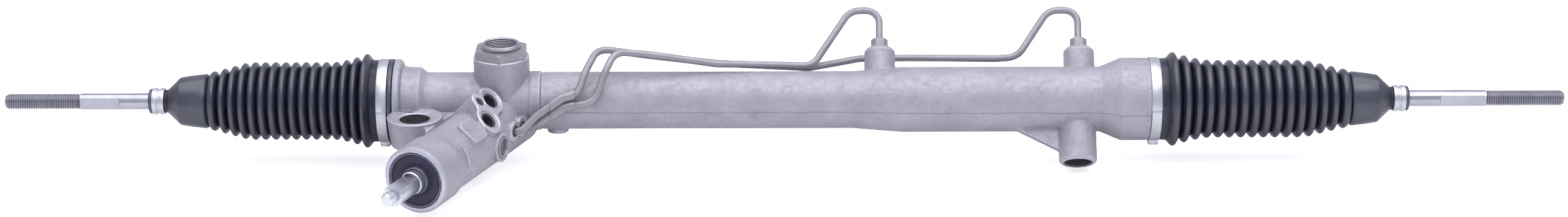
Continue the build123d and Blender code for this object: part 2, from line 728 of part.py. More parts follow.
# --- Input shaft and torsion bar -----------------------------------------------------------
with BuildPart() as input_shaft:
    turn_on_pinion(
        [
            (SLEEVE[0] + TWIST_GAP, INPUT_BORE_R),
            (SLEEVE[0] + TWIST_GAP, SPOOL_R),
            (VALVE_BORE[1], SPOOL_R),
            (VALVE_BORE[1], INPUT_R),
            (DUST_SEAT, INPUT_R),
            (DUST_SEAT, INPUT_COLLAR_R),
            (INPUT_COLLAR_END, INPUT_COLLAR_R),
            (INPUT_COLLAR_END, INPUT_BAR_R),
            (INPUT_BAR_END, INPUT_BAR_R),
            (INPUT_BAR_END, INPUT_PILOT_R - PILOT_GROOVE),
            (INPUT_BAR_END + PILOT_GROOVE_LENGTH, INPUT_PILOT_R - PILOT_GROOVE),
            (INPUT_BAR_END + PILOT_GROOVE_LENGTH, INPUT_PILOT_R),
            (INPUT_END - PILOT_GROOVE, INPUT_PILOT_R),
            (INPUT_END, INPUT_PILOT_R - PILOT_GROOVE),
            (INPUT_END, 0),
            (TORSION_BAR_END, 0),
            (TORSION_BAR_END, INPUT_BORE_R),
        ]
    )
    with BuildSketch(pinion_plane(INPUT_COLLAR_END + FLAT_START)):
        with Locations((0, INPUT_FLAT)):
            Rectangle(2 * INPUT_COLLAR_R, 2 * INPUT_COLLAR_R, align=(Align.CENTER, Align.MIN))
    extrude(amount=INPUT_BAR_END - INPUT_COLLAR_END - FLAT_START, mode=Mode.SUBTRACT)
    with BuildSketch(pinion_plane(SPOOL_SLOTS[0])):
        with PolarLocations(SPOOL_R, SPOOL_SLOT_COUNT):
            Rectangle(2 * SPOOL_SLOT_DEPTH, SPOOL_SLOT_WIDTH)
    extrude(amount=SPOOL_SLOTS[1] - SPOOL_SLOTS[0], mode=Mode.SUBTRACT)
    bar(
        pin_plane(-INPUT_BAR_R - OVERCUT),
        TORSION_PIN_R + SEAT_GAP,
        2 * INPUT_BAR_R + 2 * OVERCUT,
        mode=Mode.SUBTRACT,
    )
finish(input_shaft, "input_shaft")

with BuildPart() as torsion_bar:
    turn_on_pinion(
        [
            (GEAR_WIDTH / 2 + TORSION_BAR_FOOT, 0),
            (GEAR_WIDTH / 2 + TORSION_BAR_FOOT, TORSION_BAR_R),
            (TORSION_PIN - TORSION_HEAD, TORSION_BAR_R),
            (TORSION_PIN - TORSION_HEAD, INPUT_BORE_R - SEAT_GAP),
            (TORSION_BAR_END, INPUT_BORE_R - SEAT_GAP),
            (TORSION_BAR_END, 0),
        ]
    )
    bar(pin_plane(-INPUT_BAR_R), TORSION_PIN_R + SEAT_GAP, 2 * INPUT_BAR_R, mode=Mode.SUBTRACT)
finish(torsion_bar, "torsion_bar")

with BuildPart() as torsion_pin:
    bar(pin_plane(-TORSION_PIN_HALF), TORSION_PIN_R, 2 * TORSION_PIN_HALF)
finish(torsion_pin, "torsion_pin")

with BuildPart() as input_bearing:
    ring(
        pinion_plane(INPUT_BEARING[0]),
        MOUTH_BORE_R - SEAT_GAP,
        INPUT_R + SHAFT_GAP,
        INPUT_BEARING[1] - INPUT_BEARING[0],
    )
finish(input_bearing, "input_bearing")

with BuildPart() as input_seal:
    ring(
        pinion_plane(INPUT_SEAL[0]),
        MOUTH_BORE_R - SEAT_GAP,
        INPUT_R + SHAFT_GAP,
        INPUT_SEAL[1] - INPUT_SEAL[0],
    )
finish(input_seal, "input_seal")

with BuildPart() as seal_snap_ring:
    ring(
        pinion_plane(SNAP_RING[0]),
        MOUTH_BORE_R + SNAP_GROOVE - SEAT_GAP,
        MOUTH_BORE_R - 2 * SNAP_GROOVE,
        SNAP_RING[1] - SNAP_RING[0],
    )
finish(seal_snap_ring, "seal_snap_ring")

# The cover is dished, with a lip that stands up round the shaft.
with BuildPart() as dust_cover:
    turn_on_pinion(
        [
            (DUST_SEAT, INPUT_COLLAR_R + SHAFT_GAP),
            (DUST_SEAT, DUST_SEAT_R - SEAT_GAP),
            (TOWER_TOP - DUST_RECESS, DUST_SEAT_R - SEAT_GAP),
            (TOWER_TOP - DUST_RECESS, DUST_SEAT_R - DUST_RIM),
            (TOWER_TOP - 2 * DUST_RECESS, DUST_SEAT_R - 2 * DUST_RIM),
            (TOWER_TOP - 2 * DUST_RECESS, INPUT_COLLAR_R + 2 * DUST_RIM),
            (DUST_LIP_END, INPUT_COLLAR_R + DUST_RIM),
            (DUST_LIP_END, INPUT_COLLAR_R + SHAFT_GAP),
        ]
    )
finish(dust_cover, "dust_cover")

# --- Pinion housing ------------------------------------------------------------------------
SOCKET_FACE = TOWER_R + SOCKET_RISE
FLANGE_X = HOUSING_LEFT_END + BOOT_SEAT_LENGTH
COLLAR_X = FLANGE_X + FLANGE_LENGTH
with BuildPart() as pinion_housing:
    turn_on_rack(
        [
            (HOUSING_LEFT_END, 0),
            (HOUSING_LEFT_END, BOOT_SEAT_R),
            (HOUSING_LEFT_END + BOOT_SEAT_LENGTH, BOOT_SEAT_R),
            (FLANGE_X, FLANGE_R - FLANGE_EDGE),
            (FLANGE_X + FLANGE_EDGE, FLANGE_R),
            (COLLAR_X - 2 * FLANGE_EDGE, FLANGE_R),
            (COLLAR_X, FLANGE_R - 2 * FLANGE_EDGE),
            (COLLAR_X, COLLAR_R),
            (COLLAR_X + COLLAR_LENGTH / 2, COLLAR_R - FLANGE_EDGE),
            (COLLAR_X + COLLAR_LENGTH, COLLAR_R - FLANGE_EDGE),
            (COLLAR_X + COLLAR_LENGTH + COLLAR_R - TUBE_R, TUBE_R),
            (JOINT_X - JOINT_BEAD_LENGTH, TUBE_R),
            (JOINT_X - JOINT_BEAD_LENGTH + JOINT_BEAD_EDGE, JOINT_BEAD_R),
            (JOINT_X - JOINT_BEAD_EDGE, JOINT_BEAD_R),
            (JOINT_X, TUBE_R),
            (JOINT_X, 0),
        ]
    )
    bar(yoke_plane(0), YOKE_BOSS_R, YOKE_BOSS_TOP)
    turn_on_pinion(
        [
            (CAP_BOSS_END, 0),
            (CAP_BOSS_END, CAP_BOSS_R),
            (TOWER_FOOT, CAP_BOSS_R),
            (TOWER_FOOT + TOWER_R - CAP_BOSS_R, TOWER_R),
            (TOWER_TOP - TOWER_CHAMFER, TOWER_R),
            (TOWER_TOP, TOWER_R - TOWER_CHAMFER),
            (TOWER_TOP, 0),
        ]
    )
    # Left mounting eye, and the web that ties it to the barrel and the tower.
    bar(Plane.XY.offset(-MOUNT_HEIGHT / 2), LEFT_EYE_R, MOUNT_HEIGHT)
    with BuildSketch(Plane.XY.offset(WEB_BOTTOM)):
        Polygon(
            (-WEB_SIDE, 0),
            (-WEB_SIDE, RACK_Y),
            (YOKE_X, RACK_Y),
            tuple(MESH + PINION_DIR * WEB_REACH)[:2],
            (WEB_SIDE / 2, -WEB_SIDE),
            align=None,
        )
    extrude(amount=WEB_TOP - WEB_BOTTOM)
    # Port pad: three lobes with hollow waists between them.
    with BuildSketch(PAD_PLANE) as pad_outline:
        for centre, edge in ((PRESSURE_PORT, PAD_EDGE), (RETURN_PORT, PAD_EDGE), (PORT_BOLT, BOLT_EDGE)):
            with Locations(centre):
                Circle(edge)
        fillet(pad_outline.vertices(), PAD_WAIST_R)
    extrude(amount=PAD_HEIGHT)
    for station in (FRONT_SOCKET, REAR_SOCKET):
        bar(side_plane(station, 0, SOCKET_LIFT), SOCKET_R, SOCKET_FACE)
    bar(side_plane(PLUG_SOCKET, 0, PLUG_BOSS_LIFT), PLUG_BOSS_R, SOCKET_FACE)
    # Raised block beside the port pad, and the pocket nearer to the mouth.
    with BuildSketch(tower_plane(*BLOCK_PLACE, 0)):
        RectangleRounded(*BLOCK_SIZE, BLOCK_CORNER)
    extrude(amount=BLOCK_TOP)
    with BuildSketch(tower_plane(*POCKET_PLACE, POCKET_FLOOR)):
        RectangleRounded(*POCKET_SIZE, POCKET_CORNER)
    extrude(amount=TOWER_R, mode=Mode.SUBTRACT)
    bar(yoke_plane(0), YOKE_R + SHAFT_GAP, YOKE_BOSS_TOP + OVERCUT, mode=Mode.SUBTRACT)
    bar(yoke_plane(PLUG_BOTTOM - OVERCUT), PLUG_R + SEAT_GAP, YOKE_BOSS_TOP, mode=Mode.SUBTRACT)
    bar(
        rack_plane(HOUSING_LEFT_END - OVERCUT),
        RACK_BORE_R,
        JOINT_X - HOUSING_LEFT_END + 2 * OVERCUT,
        mode=Mode.SUBTRACT,
    )
    bar(rack_plane(JOINT_X - SPIGOT_LENGTH), SPIGOT_R, SPIGOT_LENGTH + OVERCUT, mode=Mode.SUBTRACT)
    turn_on_pinion(
        [
            (CAP_BOSS_END - OVERCUT, 0),
            (CAP_BOSS_END - OVERCUT, CAP_R),
            (CAP_BOSS_END + CAP_LENGTH, CAP_R),
            (CAP_BOSS_END + CAP_LENGTH, LOWER_BEARING_R),
            (LOWER_BEARING_TOP, LOWER_BEARING_R),
            (LOWER_BEARING_TOP, GEAR_BORE_R),
            (UPPER_BEARING[0], GEAR_BORE_R),
            (UPPER_BEARING[0], UPPER_BEARING_R),
            (VALVE_BORE[0], UPPER_BEARING_R),
            (VALVE_BORE[0], VALVE_BORE_R),
            (VALVE_BORE[1], VALVE_BORE_R),
            (VALVE_BORE[1], MOUTH_BORE_R),
            (SNAP_RING[0], MOUTH_BORE_R),
            (SNAP_RING[0], MOUTH_BORE_R + SNAP_GROOVE),
            (SNAP_RING[1], MOUTH_BORE_R + SNAP_GROOVE),
            (SNAP_RING[1], MOUTH_BORE_R),
            (DUST_SEAT, MOUTH_BORE_R),
            (DUST_SEAT, DUST_SEAT_R),
            (TOWER_TOP + OVERCUT, DUST_SEAT_R),
            (TOWER_TOP + OVERCUT, 0),
        ],
        mode=Mode.SUBTRACT,
    )
    turn(
        Plane.XZ,
        Axis.Z,
        [
            (0, -MOUNT_HEIGHT / 2),
            (EYE_CUP_R, -MOUNT_HEIGHT / 2),
            (LEFT_BORE_R, EYE_CUP_DEPTH - MOUNT_HEIGHT / 2),
            (LEFT_BORE_R, MOUNT_HEIGHT / 2 - EYE_CUP_DEPTH),
            (EYE_CUP_R, MOUNT_HEIGHT / 2),
            (0, MOUNT_HEIGHT / 2),
        ],
        mode=Mode.SUBTRACT,
    )
    for centre, drill in ((PRESSURE_PORT, PRESSURE_DRILL), (RETURN_PORT, RETURN_PORT)):
        bar(pad_plane(centre, PAD_HEIGHT), PORT_FACE_R, -PORT_FACE_DEPTH, mode=Mode.SUBTRACT)
        bar(pad_plane(centre, PAD_HEIGHT), PORT_R, -PORT_DEPTH, mode=Mode.SUBTRACT)
        bar(pad_plane(drill, PAD_HEIGHT), DRILL_R, -DRILL_DEPTH, mode=Mode.SUBTRACT)
    bar(pad_plane(PORT_BOLT, PAD_HEIGHT), BOLT_HOLE_R, -BOLT_HOLE_DEPTH, mode=Mode.SUBTRACT)
    for station in (FRONT_SOCKET, REAR_SOCKET):
        bar(
            side_plane(station, SOCKET_FACE, SOCKET_LIFT),
            PIPE_R + SEAT_GAP,
            -SOCKET_DEPTH,
            mode=Mode.SUBTRACT,
        )
    bar(
        side_plane(PLUG_SOCKET, SOCKET_FACE, PLUG_BOSS_LIFT),
        VALVE_PLUG_R,
        -SOCKET_DEPTH,
        mode=Mode.SUBTRACT,
    )
finish(pinion_housing, "pinion_housing")

with BuildPart() as valve_plug:
    bar(
        side_plane(PLUG_SOCKET, SOCKET_FACE - SOCKET_DEPTH, PLUG_BOSS_LIFT),
        VALVE_PLUG_R - SEAT_GAP,
        SOCKET_DEPTH + VALVE_PLUG_HEAD,
    )
finish(valve_plug, "valve_plug")

# --- Yoke and its adjuster -----------------------------------------------------------------
SADDLE_R = RACK_R + YOKE_CLEARANCE + LINER
with BuildPart() as rack_yoke:
    bar(yoke_plane(YOKE_FOOT), YOKE_R, YOKE_TOP - YOKE_FOOT)
    bar(rack_plane(YOKE_X - YOKE_R), SADDLE_R, 2 * YOKE_R, mode=Mode.SUBTRACT)
    ring(
        yoke_plane(YOKE_RING_LEVEL),
        YOKE_R + FREE_GAP,
        YOKE_R - YOKE_RING_DEPTH,
        YOKE_RING_WIDTH,
        mode=Mode.SUBTRACT,
    )
    bar(yoke_plane(YOKE_TOP), YOKE_POCKET_R, -YOKE_POCKET_DEPTH, mode=Mode.SUBTRACT)
finish(rack_yoke, "rack_yoke")

with BuildPart() as yoke_liner:
    with BuildSketch(rack_plane(YOKE_X - LINER_HALF)):
        Circle(SADDLE_R)
        Circle(SADDLE_R - LINER, mode=Mode.SUBTRACT)
        with Locations((0, YOKE_FOOT + LINER)):
            Rectangle(4 * YOKE_R, 4 * YOKE_R, align=(Align.CENTER, Align.MAX), mode=Mode.SUBTRACT)
    extrude(amount=2 * LINER_HALF)
finish(yoke_liner, "yoke_liner")

with BuildPart() as yoke_ring:
    ring(
        yoke_plane(YOKE_RING_LEVEL),
        YOKE_R + SHAFT_GAP,
        YOKE_R - YOKE_RING_DEPTH,
        YOKE_RING_WIDTH,
    )
finish(yoke_ring, "yoke_ring")

with BuildPart() as yoke_spring:
    turn(
        YOKE_SECTION,
        YOKE_AXIS,
        [
            (YOKE_SPRING_BORE, PLUG_BOTTOM - YOKE_SPRING_THICK),
            (YOKE_SPRING_BORE, PLUG_BOTTOM),
            (YOKE_R - FREE_GAP, YOKE_TOP + YOKE_SPRING_THICK),
            (YOKE_R - FREE_GAP, YOKE_TOP),
        ],
    )
finish(yoke_spring, "yoke_spring")

with BuildPart() as yoke_plug:
    bar(yoke_plane(PLUG_BOTTOM), PLUG_R, PLUG_TOP - PLUG_BOTTOM)
    chamfer(yoke_plug.edges().group_by(Axis.Z)[-1], PLUG_CHAMFER)
    bar(yoke_plane(PLUG_BOTTOM + PLUG_FLOOR), PLUG_R - PLUG_WALL, PLUG_TOP - PLUG_BOTTOM, mode=Mode.SUBTRACT)
finish(yoke_plug, "yoke_plug")

with BuildPart() as yoke_locknut:
    with BuildSketch(yoke_plane(YOKE_BOSS_TOP)):
        RegularPolygon(LOCKNUT_ACROSS / 2, 6, major_radius=False, rotation=30)
        Circle(PLUG_R + SEAT_GAP, mode=Mode.SUBTRACT)
    extrude(amount=LOCKNUT_HEIGHT)
    turn(
        YOKE_SECTION,
        YOKE_AXIS,
        [
            (0, YOKE_BOSS_TOP),
            (LOCKNUT_CORNER - LOCKNUT_CHAMFER, YOKE_BOSS_TOP),
            (LOCKNUT_CORNER, YOKE_BOSS_TOP + LOCKNUT_CHAMFER / 2),
            (LOCKNUT_CORNER, YOKE_BOSS_TOP + LOCKNUT_HEIGHT - LOCKNUT_CHAMFER / 2),
            (LOCKNUT_CORNER - LOCKNUT_CHAMFER, YOKE_BOSS_TOP + LOCKNUT_HEIGHT),
            (0, YOKE_BOSS_TOP + LOCKNUT_HEIGHT),
        ],
        mode=Mode.INTERSECT,
    )
finish(yoke_locknut, "yoke_locknut")

# --- Cylinder and right-hand end -----------------------------------------------------------
STOP_RING_X = HOUSING_RIGHT_END - STOP_RING_LENGTH
OUTER_SEAL_X = STOP_RING_X - OUTER_SEAL_LENGTH
BUSHING_X = OUTER_SEAL_X - BUSHING_LENGTH
with BuildPart() as cylinder_housing:
    turn_on_rack(
        [
            (JOINT_X - SPIGOT_LENGTH, 0),
            (JOINT_X - SPIGOT_LENGTH, SPIGOT_R - SEAT_GAP),
            (JOINT_X, SPIGOT_R - SEAT_GAP),
            (JOINT_X, TUBE_R),
            (SWELL[0], TUBE_R),
            (SWELL[1], CYLINDER_R),
            (CYLINDER_END, CYLINDER_R),
            (BELL[0], BELL_R),
            (BELL[1], BELL_R),
            (BELL[1], BOOT_SEAT_R),
            (HOUSING_RIGHT_END, BOOT_SEAT_R),
            (HOUSING_RIGHT_END, 0),
        ]
    )
    bar(Plane((LOWER_BOSS_X, RACK_Y, RACK_Z), z_dir=(0, 0, -1)), LOWER_BOSS_R, LOWER_BOSS_END)
    for station in (PORT_LEFT_X, PORT_RIGHT_X):
        turn_on_port(
            station,
            [
                (0, 0),
                (0, PORT_BOSS_R),
                (PORT_BOSS_TOP - PORT_BOSS_SHOULDER, PORT_BOSS_R),
                (PORT_BOSS_TOP, PORT_BOSS_R - PORT_BOSS_SHOULDER),
                (PORT_BOSS_TOP, 0),
            ],
        )
    turn_on_port(
        RIGHT_MOUNT_X,
        [
            (0, 0),
            (0, RIGHT_MOUNT_R),
            (RIGHT_MOUNT_EDGE - RIGHT_MOUNT_END, RIGHT_MOUNT_R),
            (-RIGHT_MOUNT_END, RIGHT_MOUNT_R - RIGHT_MOUNT_EDGE),
            (-RIGHT_MOUNT_END, 0),
        ],
    )
    with BuildSketch(GUSSET_PLANE):
        Polygon(
            (RIGHT_MOUNT_X - GUSSET_REACH - RIGHT_MOUNT_R, LINE_BORE_R),
            (RIGHT_MOUNT_X - GUSSET_REACH - RIGHT_MOUNT_R, CYLINDER_R),
            (RIGHT_MOUNT_X - RIGHT_MOUNT_R, GUSSET_TOP),
            (RIGHT_MOUNT_X, GUSSET_TOP),
            (RIGHT_MOUNT_X, LINE_BORE_R),
            align=None,
        )
    extrude(amount=GUSSET_THICK / 2, both=True)
    turn_on_rack(
        [
            (JOINT_X - SPIGOT_LENGTH - OVERCUT, 0),
            (JOINT_X - SPIGOT_LENGTH - OVERCUT, LINE_BORE_R),
            (CYLINDER_BORE_START, LINE_BORE_R),
            (CYLINDER_BORE_START, CYLINDER_BORE_R),
            (BUSHING_X, CYLINDER_BORE_R),
            (BUSHING_X, END_BORE_R),
            (HOUSING_RIGHT_END + OVERCUT, END_BORE_R),
            (HOUSING_RIGHT_END + OVERCUT, 0),
        ],
        mode=Mode.SUBTRACT,
    )
    for station in (PORT_LEFT_X, PORT_RIGHT_X):
        bar(port_plane(station, PORT_BOSS_TOP), CYLINDER_PORT_R, -PORT_THREAD, mode=Mode.SUBTRACT)
        bar(port_plane(station, PORT_BOSS_TOP), DRILL_R, -PORT_BOSS_TOP, mode=Mode.SUBTRACT)
    bar(mount_plane(RIGHT_MOUNT_END), RIGHT_BORE_R, -RIGHT_BORE_DEPTH, mode=Mode.SUBTRACT)
finish(cylinder_housing, "cylinder_housing")

with BuildPart() as inner_rack_seal:
    ring(
        rack_plane(CYLINDER_BORE_START),
        CYLINDER_BORE_R - SEAT_GAP,
        RACK_R + SHAFT_GAP,
        INNER_SEAL_LENGTH,
    )
finish(inner_rack_seal, "inner_rack_seal")

with BuildPart() as rack_bushing:
    ring(rack_plane(BUSHING_X), END_BORE_R - SEAT_GAP, RACK_R + SHAFT_GAP, BUSHING_LENGTH)
finish(rack_bushing, "rack_bushing")

with BuildPart() as outer_rack_seal:
    ring(rack_plane(OUTER_SEAL_X), END_BORE_R - SEAT_GAP, RACK_R + SHAFT_GAP, OUTER_SEAL_LENGTH)
finish(outer_rack_seal, "outer_rack_seal")

with BuildPart() as stop_ring:
    ring(rack_plane(STOP_RING_X), END_BORE_R - SEAT_GAP, STOP_RING_BORE_R, STOP_RING_LENGTH)
finish(stop_ring, "stop_ring")

with BuildPart() as tube_nuts:
    for station in (PORT_LEFT_X, PORT_RIGHT_X):
        bar(port_plane(station, PORT_BOSS_TOP), CYLINDER_PORT_R - SEAT_GAP, -NUT_THREAD)
        with BuildSketch(port_plane(station, PORT_BOSS_TOP)):
            RegularPolygon(NUT_ACROSS / 2, 6, major_radius=False)
        extrude(amount=NUT_HEIGHT)
        bar(
            port_plane(station, PORT_BOSS_TOP - PORT_THREAD),
            PIPE_R + SEAT_GAP,
            PORT_THREAD + NUT_HEIGHT + OVERCUT,
            mode=Mode.SUBTRACT,
        )
finish(tube_nuts, "tube_nuts")

# --- Transfer tubes ------------------------------------------------------------------------
# Route points are (X, behind the rack centre line, above the rack centre line).
FRONT_ROUTE = [
    (108.0, -35.0, -9.0),
    (130.0, -32.0, 5.0),
    (156.0, -31.5, 9.0),
    (166.0, -19.0, 34.0),
    (174.0, -5.0, 47.0),
    (205.0, -1.5, 43.0),
    (262.0, 4.0, 32.5),
    (322.0, 14.5, 27.5),
]
REAR_ROUTE = [
    (106.0, -37.0, -1.0),
    (128.0, -31.5, 13.0),
    (142.0, -30.0, 16.5),
    (148.0, -19.0, 33.0),
    (158.0, 7.0, 46.0),
    (200.0, 15.0, 37.0),
    (262.0, 22.0, 27.0),
    (345.0, 26.0, 21.0),
    (390.0, 40.8, 24.5),
    (436.0, 41.5, 25.0),
    (512.0, 28.9, 28.3),
]


def port_point(station, height):
    """Point on a cylinder port's plane, at a height from the rack centre line."""
    return Vector(station, RACK_Y, RACK_Z) + PORT_DIR * height


def route_points(station, route, port_x, start_height):
    """Corners of a transfer tube, from its socket on the tower to its port on the cylinder."""
    mouth = MESH + PINION_DIR * station + UP * SOCKET_LIFT + PINION_SIDE * (SOCKET_FACE - SOCKET_DEPTH)
    corners = [mouth, mouth + PINION_SIDE * (SOCKET_DEPTH + SOCKET_LEAD)]
    corners += [Vector(x, RACK_Y + behind, RACK_Z + above) for x, behind, above in route]
    loop_x = port_x - LOOP_WIDTH
    corners.append(port_point(loop_x - (PIPE_TOP - start_height) / PORT_RISE, start_height))
    corners.append(port_point(loop_x, PIPE_TOP))
    corners.append(port_point(port_x, PIPE_TOP))
    corners.append(port_point(port_x, PORT_BOSS_TOP - NUT_THREAD))
    return corners


def bend_radii(corners):
    """Bend radius for each inner corner, as large as its two straight runs allow."""
    radii = []
    for before, corner, after in zip(corners, corners[1:], corners[2:]):
        turn_angle = math.radians((corner - before).get_angle(after - corner))
        run = min((corner - before).length, (after - corner).length)
        radii.append(min(PIPE_BEND_R, BEND_SHARE * run / math.tan(turn_angle / 2)))
    return radii


for name, station, route, port_x, start_height in (
    ("transfer_tube_front", FRONT_SOCKET, FRONT_ROUTE, PORT_LEFT_X, FRONT_APPROACH),
    ("transfer_tube_rear", REAR_SOCKET, REAR_ROUTE, PORT_RIGHT_X, REAR_APPROACH),
):
    corners = route_points(station, route, port_x, start_height)
    with BuildPart() as transfer_tube:
        with BuildLine() as tube_path:
            FilletPolyline(*corners, radius=bend_radii(corners))
        with BuildSketch(Plane(corners[0], z_dir=PINION_SIDE)):
            Circle(PIPE_R)
        sweep(path=tube_path.wire())
    finish(transfer_tube, name)

# The clip follows both tubes through their first bend, in front of the cylinder housing.
CLIP_ROUTES = [
    route_points(FRONT_SOCKET, FRONT_ROUTE, PORT_LEFT_X, FRONT_APPROACH)[:CLIP_CORNERS],
    route_points(REAR_SOCKET, REAR_ROUTE, PORT_RIGHT_X, REAR_APPROACH)[:CLIP_CORNERS],
]
with BuildPart() as tube_clip:
    for clip_mode, clip_radius in ((Mode.ADD, PIPE_R + CLIP_WALL), (Mode.SUBTRACT, PIPE_R + SEAT_GAP)):
        for corners in CLIP_ROUTES:
            with BuildLine() as clip_path:
                FilletPolyline(*corners, radius=bend_radii(corners))
            with BuildSketch(Plane(corners[0], z_dir=PINION_SIDE)):
                Circle(clip_radius)
            sweep(path=clip_path.wire(), mode=clip_mode)
        if clip_mode == Mode.ADD:
            with BuildSketch(rack_plane(CLIP_X)):
                Circle(2 * BELL_R)
            extrude(amount=CLIP_LENGTH, mode=Mode.INTERSECT)
finish(tube_clip, "tube_clip")

# --- Ball joints and tie rods --------------------------------------------------------------
def turn_outward(ball_x, side, outline, mode=Mode.ADD):
    """Solid of revolution whose stations count outward from a ball centre."""
    turn_on_rack([(ball_x + side * station, radius) for station, radius in outline], mode)


def pleat_radius(index):
    """Tip radius of one pleat, counted from the cuff."""
    rise = BIG_END_RISE * max(0.0, 1 - index / BIG_END_PLEATS) ** 1.5
    drop = max(0.0, SMALL_END_DROP - SMALL_END_STEP * (PLEATS - 1 - index))
    return PLEAT_R + rise - drop


SEAT_OUT_R = BALL_R + BALL_GAP + BALL_SEAT_WALL
BALL_CAVITY_R = SEAT_OUT_R + BALL_GAP
LEFT_ROD = (LEFT_BALL, LEFT_ROD_LENGTH, LEFT_THREAD, LEFT_FLATS)
RIGHT_ROD = (RIGHT_BALL, RIGHT_ROD_LENGTH, RIGHT_THREAD, RIGHT_FLATS)
LEFT_BOOT = (HOUSING_LEFT_END, LEFT_CUFF, LEFT_PLEATS)
RIGHT_BOOT = (HOUSING_RIGHT_END, RIGHT_CUFF, RIGHT_PLEATS)
for name, side, rod_sizes, boot_sizes in (
    ("left", -1, LEFT_ROD, LEFT_BOOT),
    ("right", 1, RIGHT_ROD, RIGHT_BOOT),
):
    ball_x, rod_length, thread, flats = rod_sizes
    housing_end, cuff, pleats = boot_sizes
    ball_centre = (ball_x, RACK_Y, RACK_Z)

    with BuildPart() as ball_socket:
        turn_outward(
            ball_x,
            side,
            [
                (-SOCKET_INNER_LENGTH, 0),
                (-SOCKET_INNER_LENGTH, SOCKET_OUT_R - SOCKET_CHAMFER),
                (-SOCKET_INNER_LENGTH + SOCKET_CHAMFER, SOCKET_OUT_R),
                (SOCKET_MOUTH - SOCKET_CHAMFER, SOCKET_OUT_R),
                (SOCKET_MOUTH, SOCKET_OUT_R - SOCKET_CHAMFER),
                (SOCKET_MOUTH, 0),
            ],
        )
        turn_outward(
            ball_x,
            side,
            [
                (-SOCKET_INNER_LENGTH, 0),
                (-SOCKET_INNER_LENGTH, RACK_THREAD_R + SEAT_GAP),
                (RACK_THREAD_LENGTH - SOCKET_INNER_LENGTH, RACK_THREAD_R + SEAT_GAP),
                (RACK_THREAD_LENGTH - SOCKET_INNER_LENGTH, 0),
            ],
            mode=Mode.SUBTRACT,
        )
        with Locations(ball_centre):
            Sphere(BALL_CAVITY_R, rotation=(0, 90, 0), mode=Mode.SUBTRACT)
        with BuildSketch(rack_plane(ball_x - side * SOCKET_FLAT_REACH)):
            for sign in (-1, 1):
                with Locations((0, sign * SOCKET_ACROSS / 2)):
                    Rectangle(
                        3 * SOCKET_OUT_R,
                        SOCKET_OUT_R,
                        align=(Align.CENTER, Align.MIN if sign > 0 else Align.MAX),
                    )
        extrude(amount=-side * (SOCKET_INNER_LENGTH - SOCKET_FLAT_REACH), mode=Mode.SUBTRACT)
    finish(ball_socket, f"ball_socket_{name}")

    with BuildPart() as lock_washer:
        washer_start = ball_x - side * SOCKET_INNER_LENGTH
        bar(Plane((washer_start, RACK_Y, RACK_Z), z_dir=(-side, 0, 0)), WASHER_R, WASHER)
        bar(
            Plane((washer_start, RACK_Y, RACK_Z), z_dir=(-side, 0, 0)),
            RACK_THREAD_R + SEAT_GAP,
            WASHER,
            mode=Mode.SUBTRACT,
        )
    finish(lock_washer, f"lock_washer_{name}")

    with BuildPart() as ball_seat:
        with Locations(ball_centre):
            Sphere(SEAT_OUT_R, rotation=(0, 90, 0))
            Sphere(BALL_R + BALL_GAP, rotation=(0, 90, 0), mode=Mode.SUBTRACT)
        turn_outward(
            ball_x,
            side,
            [
                (SOCKET_MOUTH, 0),
                (SOCKET_MOUTH, SOCKET_OUT_R),
                (SOCKET_OUT_R, SOCKET_OUT_R),
                (SOCKET_OUT_R, 0),
            ],
            mode=Mode.SUBTRACT,
        )
    finish(ball_seat, f"ball_seat_{name}")

    with BuildPart() as tie_rod:
        with Locations(ball_centre):
            Sphere(BALL_R, rotation=(0, 90, 0))
        turn_outward(
            ball_x,
            side,
            [
                (0, 0),
                (0, NECK_R),
                (NECK_LENGTH, NECK_R),
                (NECK_LENGTH + ROD_R - NECK_R, ROD_R),
                (rod_length - thread, ROD_R),
                (rod_length - thread, ROD_THREAD_R),
                (rod_length - ROD_TIP, ROD_THREAD_R),
                (rod_length, ROD_THREAD_R - ROD_TIP),
                (rod_length, 0),
            ],
        )
        with BuildSketch(rack_plane(ball_x + side * (rod_length - thread - flats))):
            for sign in (-1, 1):
                with Locations((0, sign * FLAT_ACROSS / 2)):
                    Rectangle(4 * ROD_R, ROD_R, align=(Align.CENTER, Align.MIN if sign > 0 else Align.MAX))
        extrude(amount=side * flats, mode=Mode.SUBTRACT)
    finish(tie_rod, f"tie_rod_{name}")

    # --- Boot: the outline runs outward from the cuff's lip to the end of the neck.
    pitch = pleats / (PLEATS - 1)
    last_pleat = BIG_PLEAT_REACH + pleats
    bell = last_pleat + BELL_START
    flare = bell + BELL_LENGTH
    neck = flare + FLARE_LENGTH
    neck_end = neck + BOOT_NECK_LENGTH
    boot_outline = [(-cuff, CUFF_LIP_R), (-cuff + CUFF_LIP, CUFF_LIP_R), (-cuff + CUFF_LIP, CUFF_R)]
    boot_outline += [(BIG_PLEAT_REACH - pitch / 2, CUFF_R)]
    for index in range(PLEATS):
        centre = BIG_PLEAT_REACH + index * pitch
        boot_outline.append((centre, pleat_radius(index)))
        if index < PLEATS - 1:
            valley = min(pleat_radius(index), pleat_radius(index + 1)) - PLEAT_DEPTH
            boot_outline.append((centre + pitch / 2, valley))
    boot_outline += [
        (last_pleat + pitch / 2, BELL_BIG_R - BOOT_WALL),
        (bell, BELL_BIG_R),
        (flare, BELL_SMALL_R),
        (neck, BOOT_NECK_R),
        (neck_end, BOOT_NECK_R),
    ]
    lining = [(station, radius - BOOT_WALL) for station, radius in boot_outline[3:-3]]
    lining = [(-cuff, BOOT_SEAT_R), (CUFF_FREE, BOOT_SEAT_R), *lining]
    lining += [
        (flare - BOOT_WALL, BELL_SMALL_R - BOOT_WALL),
        (neck - BOOT_WALL, ROD_R + NECK_GAP),
        (neck_end, ROD_R + NECK_GAP),
    ]
    with BuildPart() as boot:
        turn_outward(housing_end, side, boot_outline + lining[::-1])
    finish(boot, f"boot_{name}")

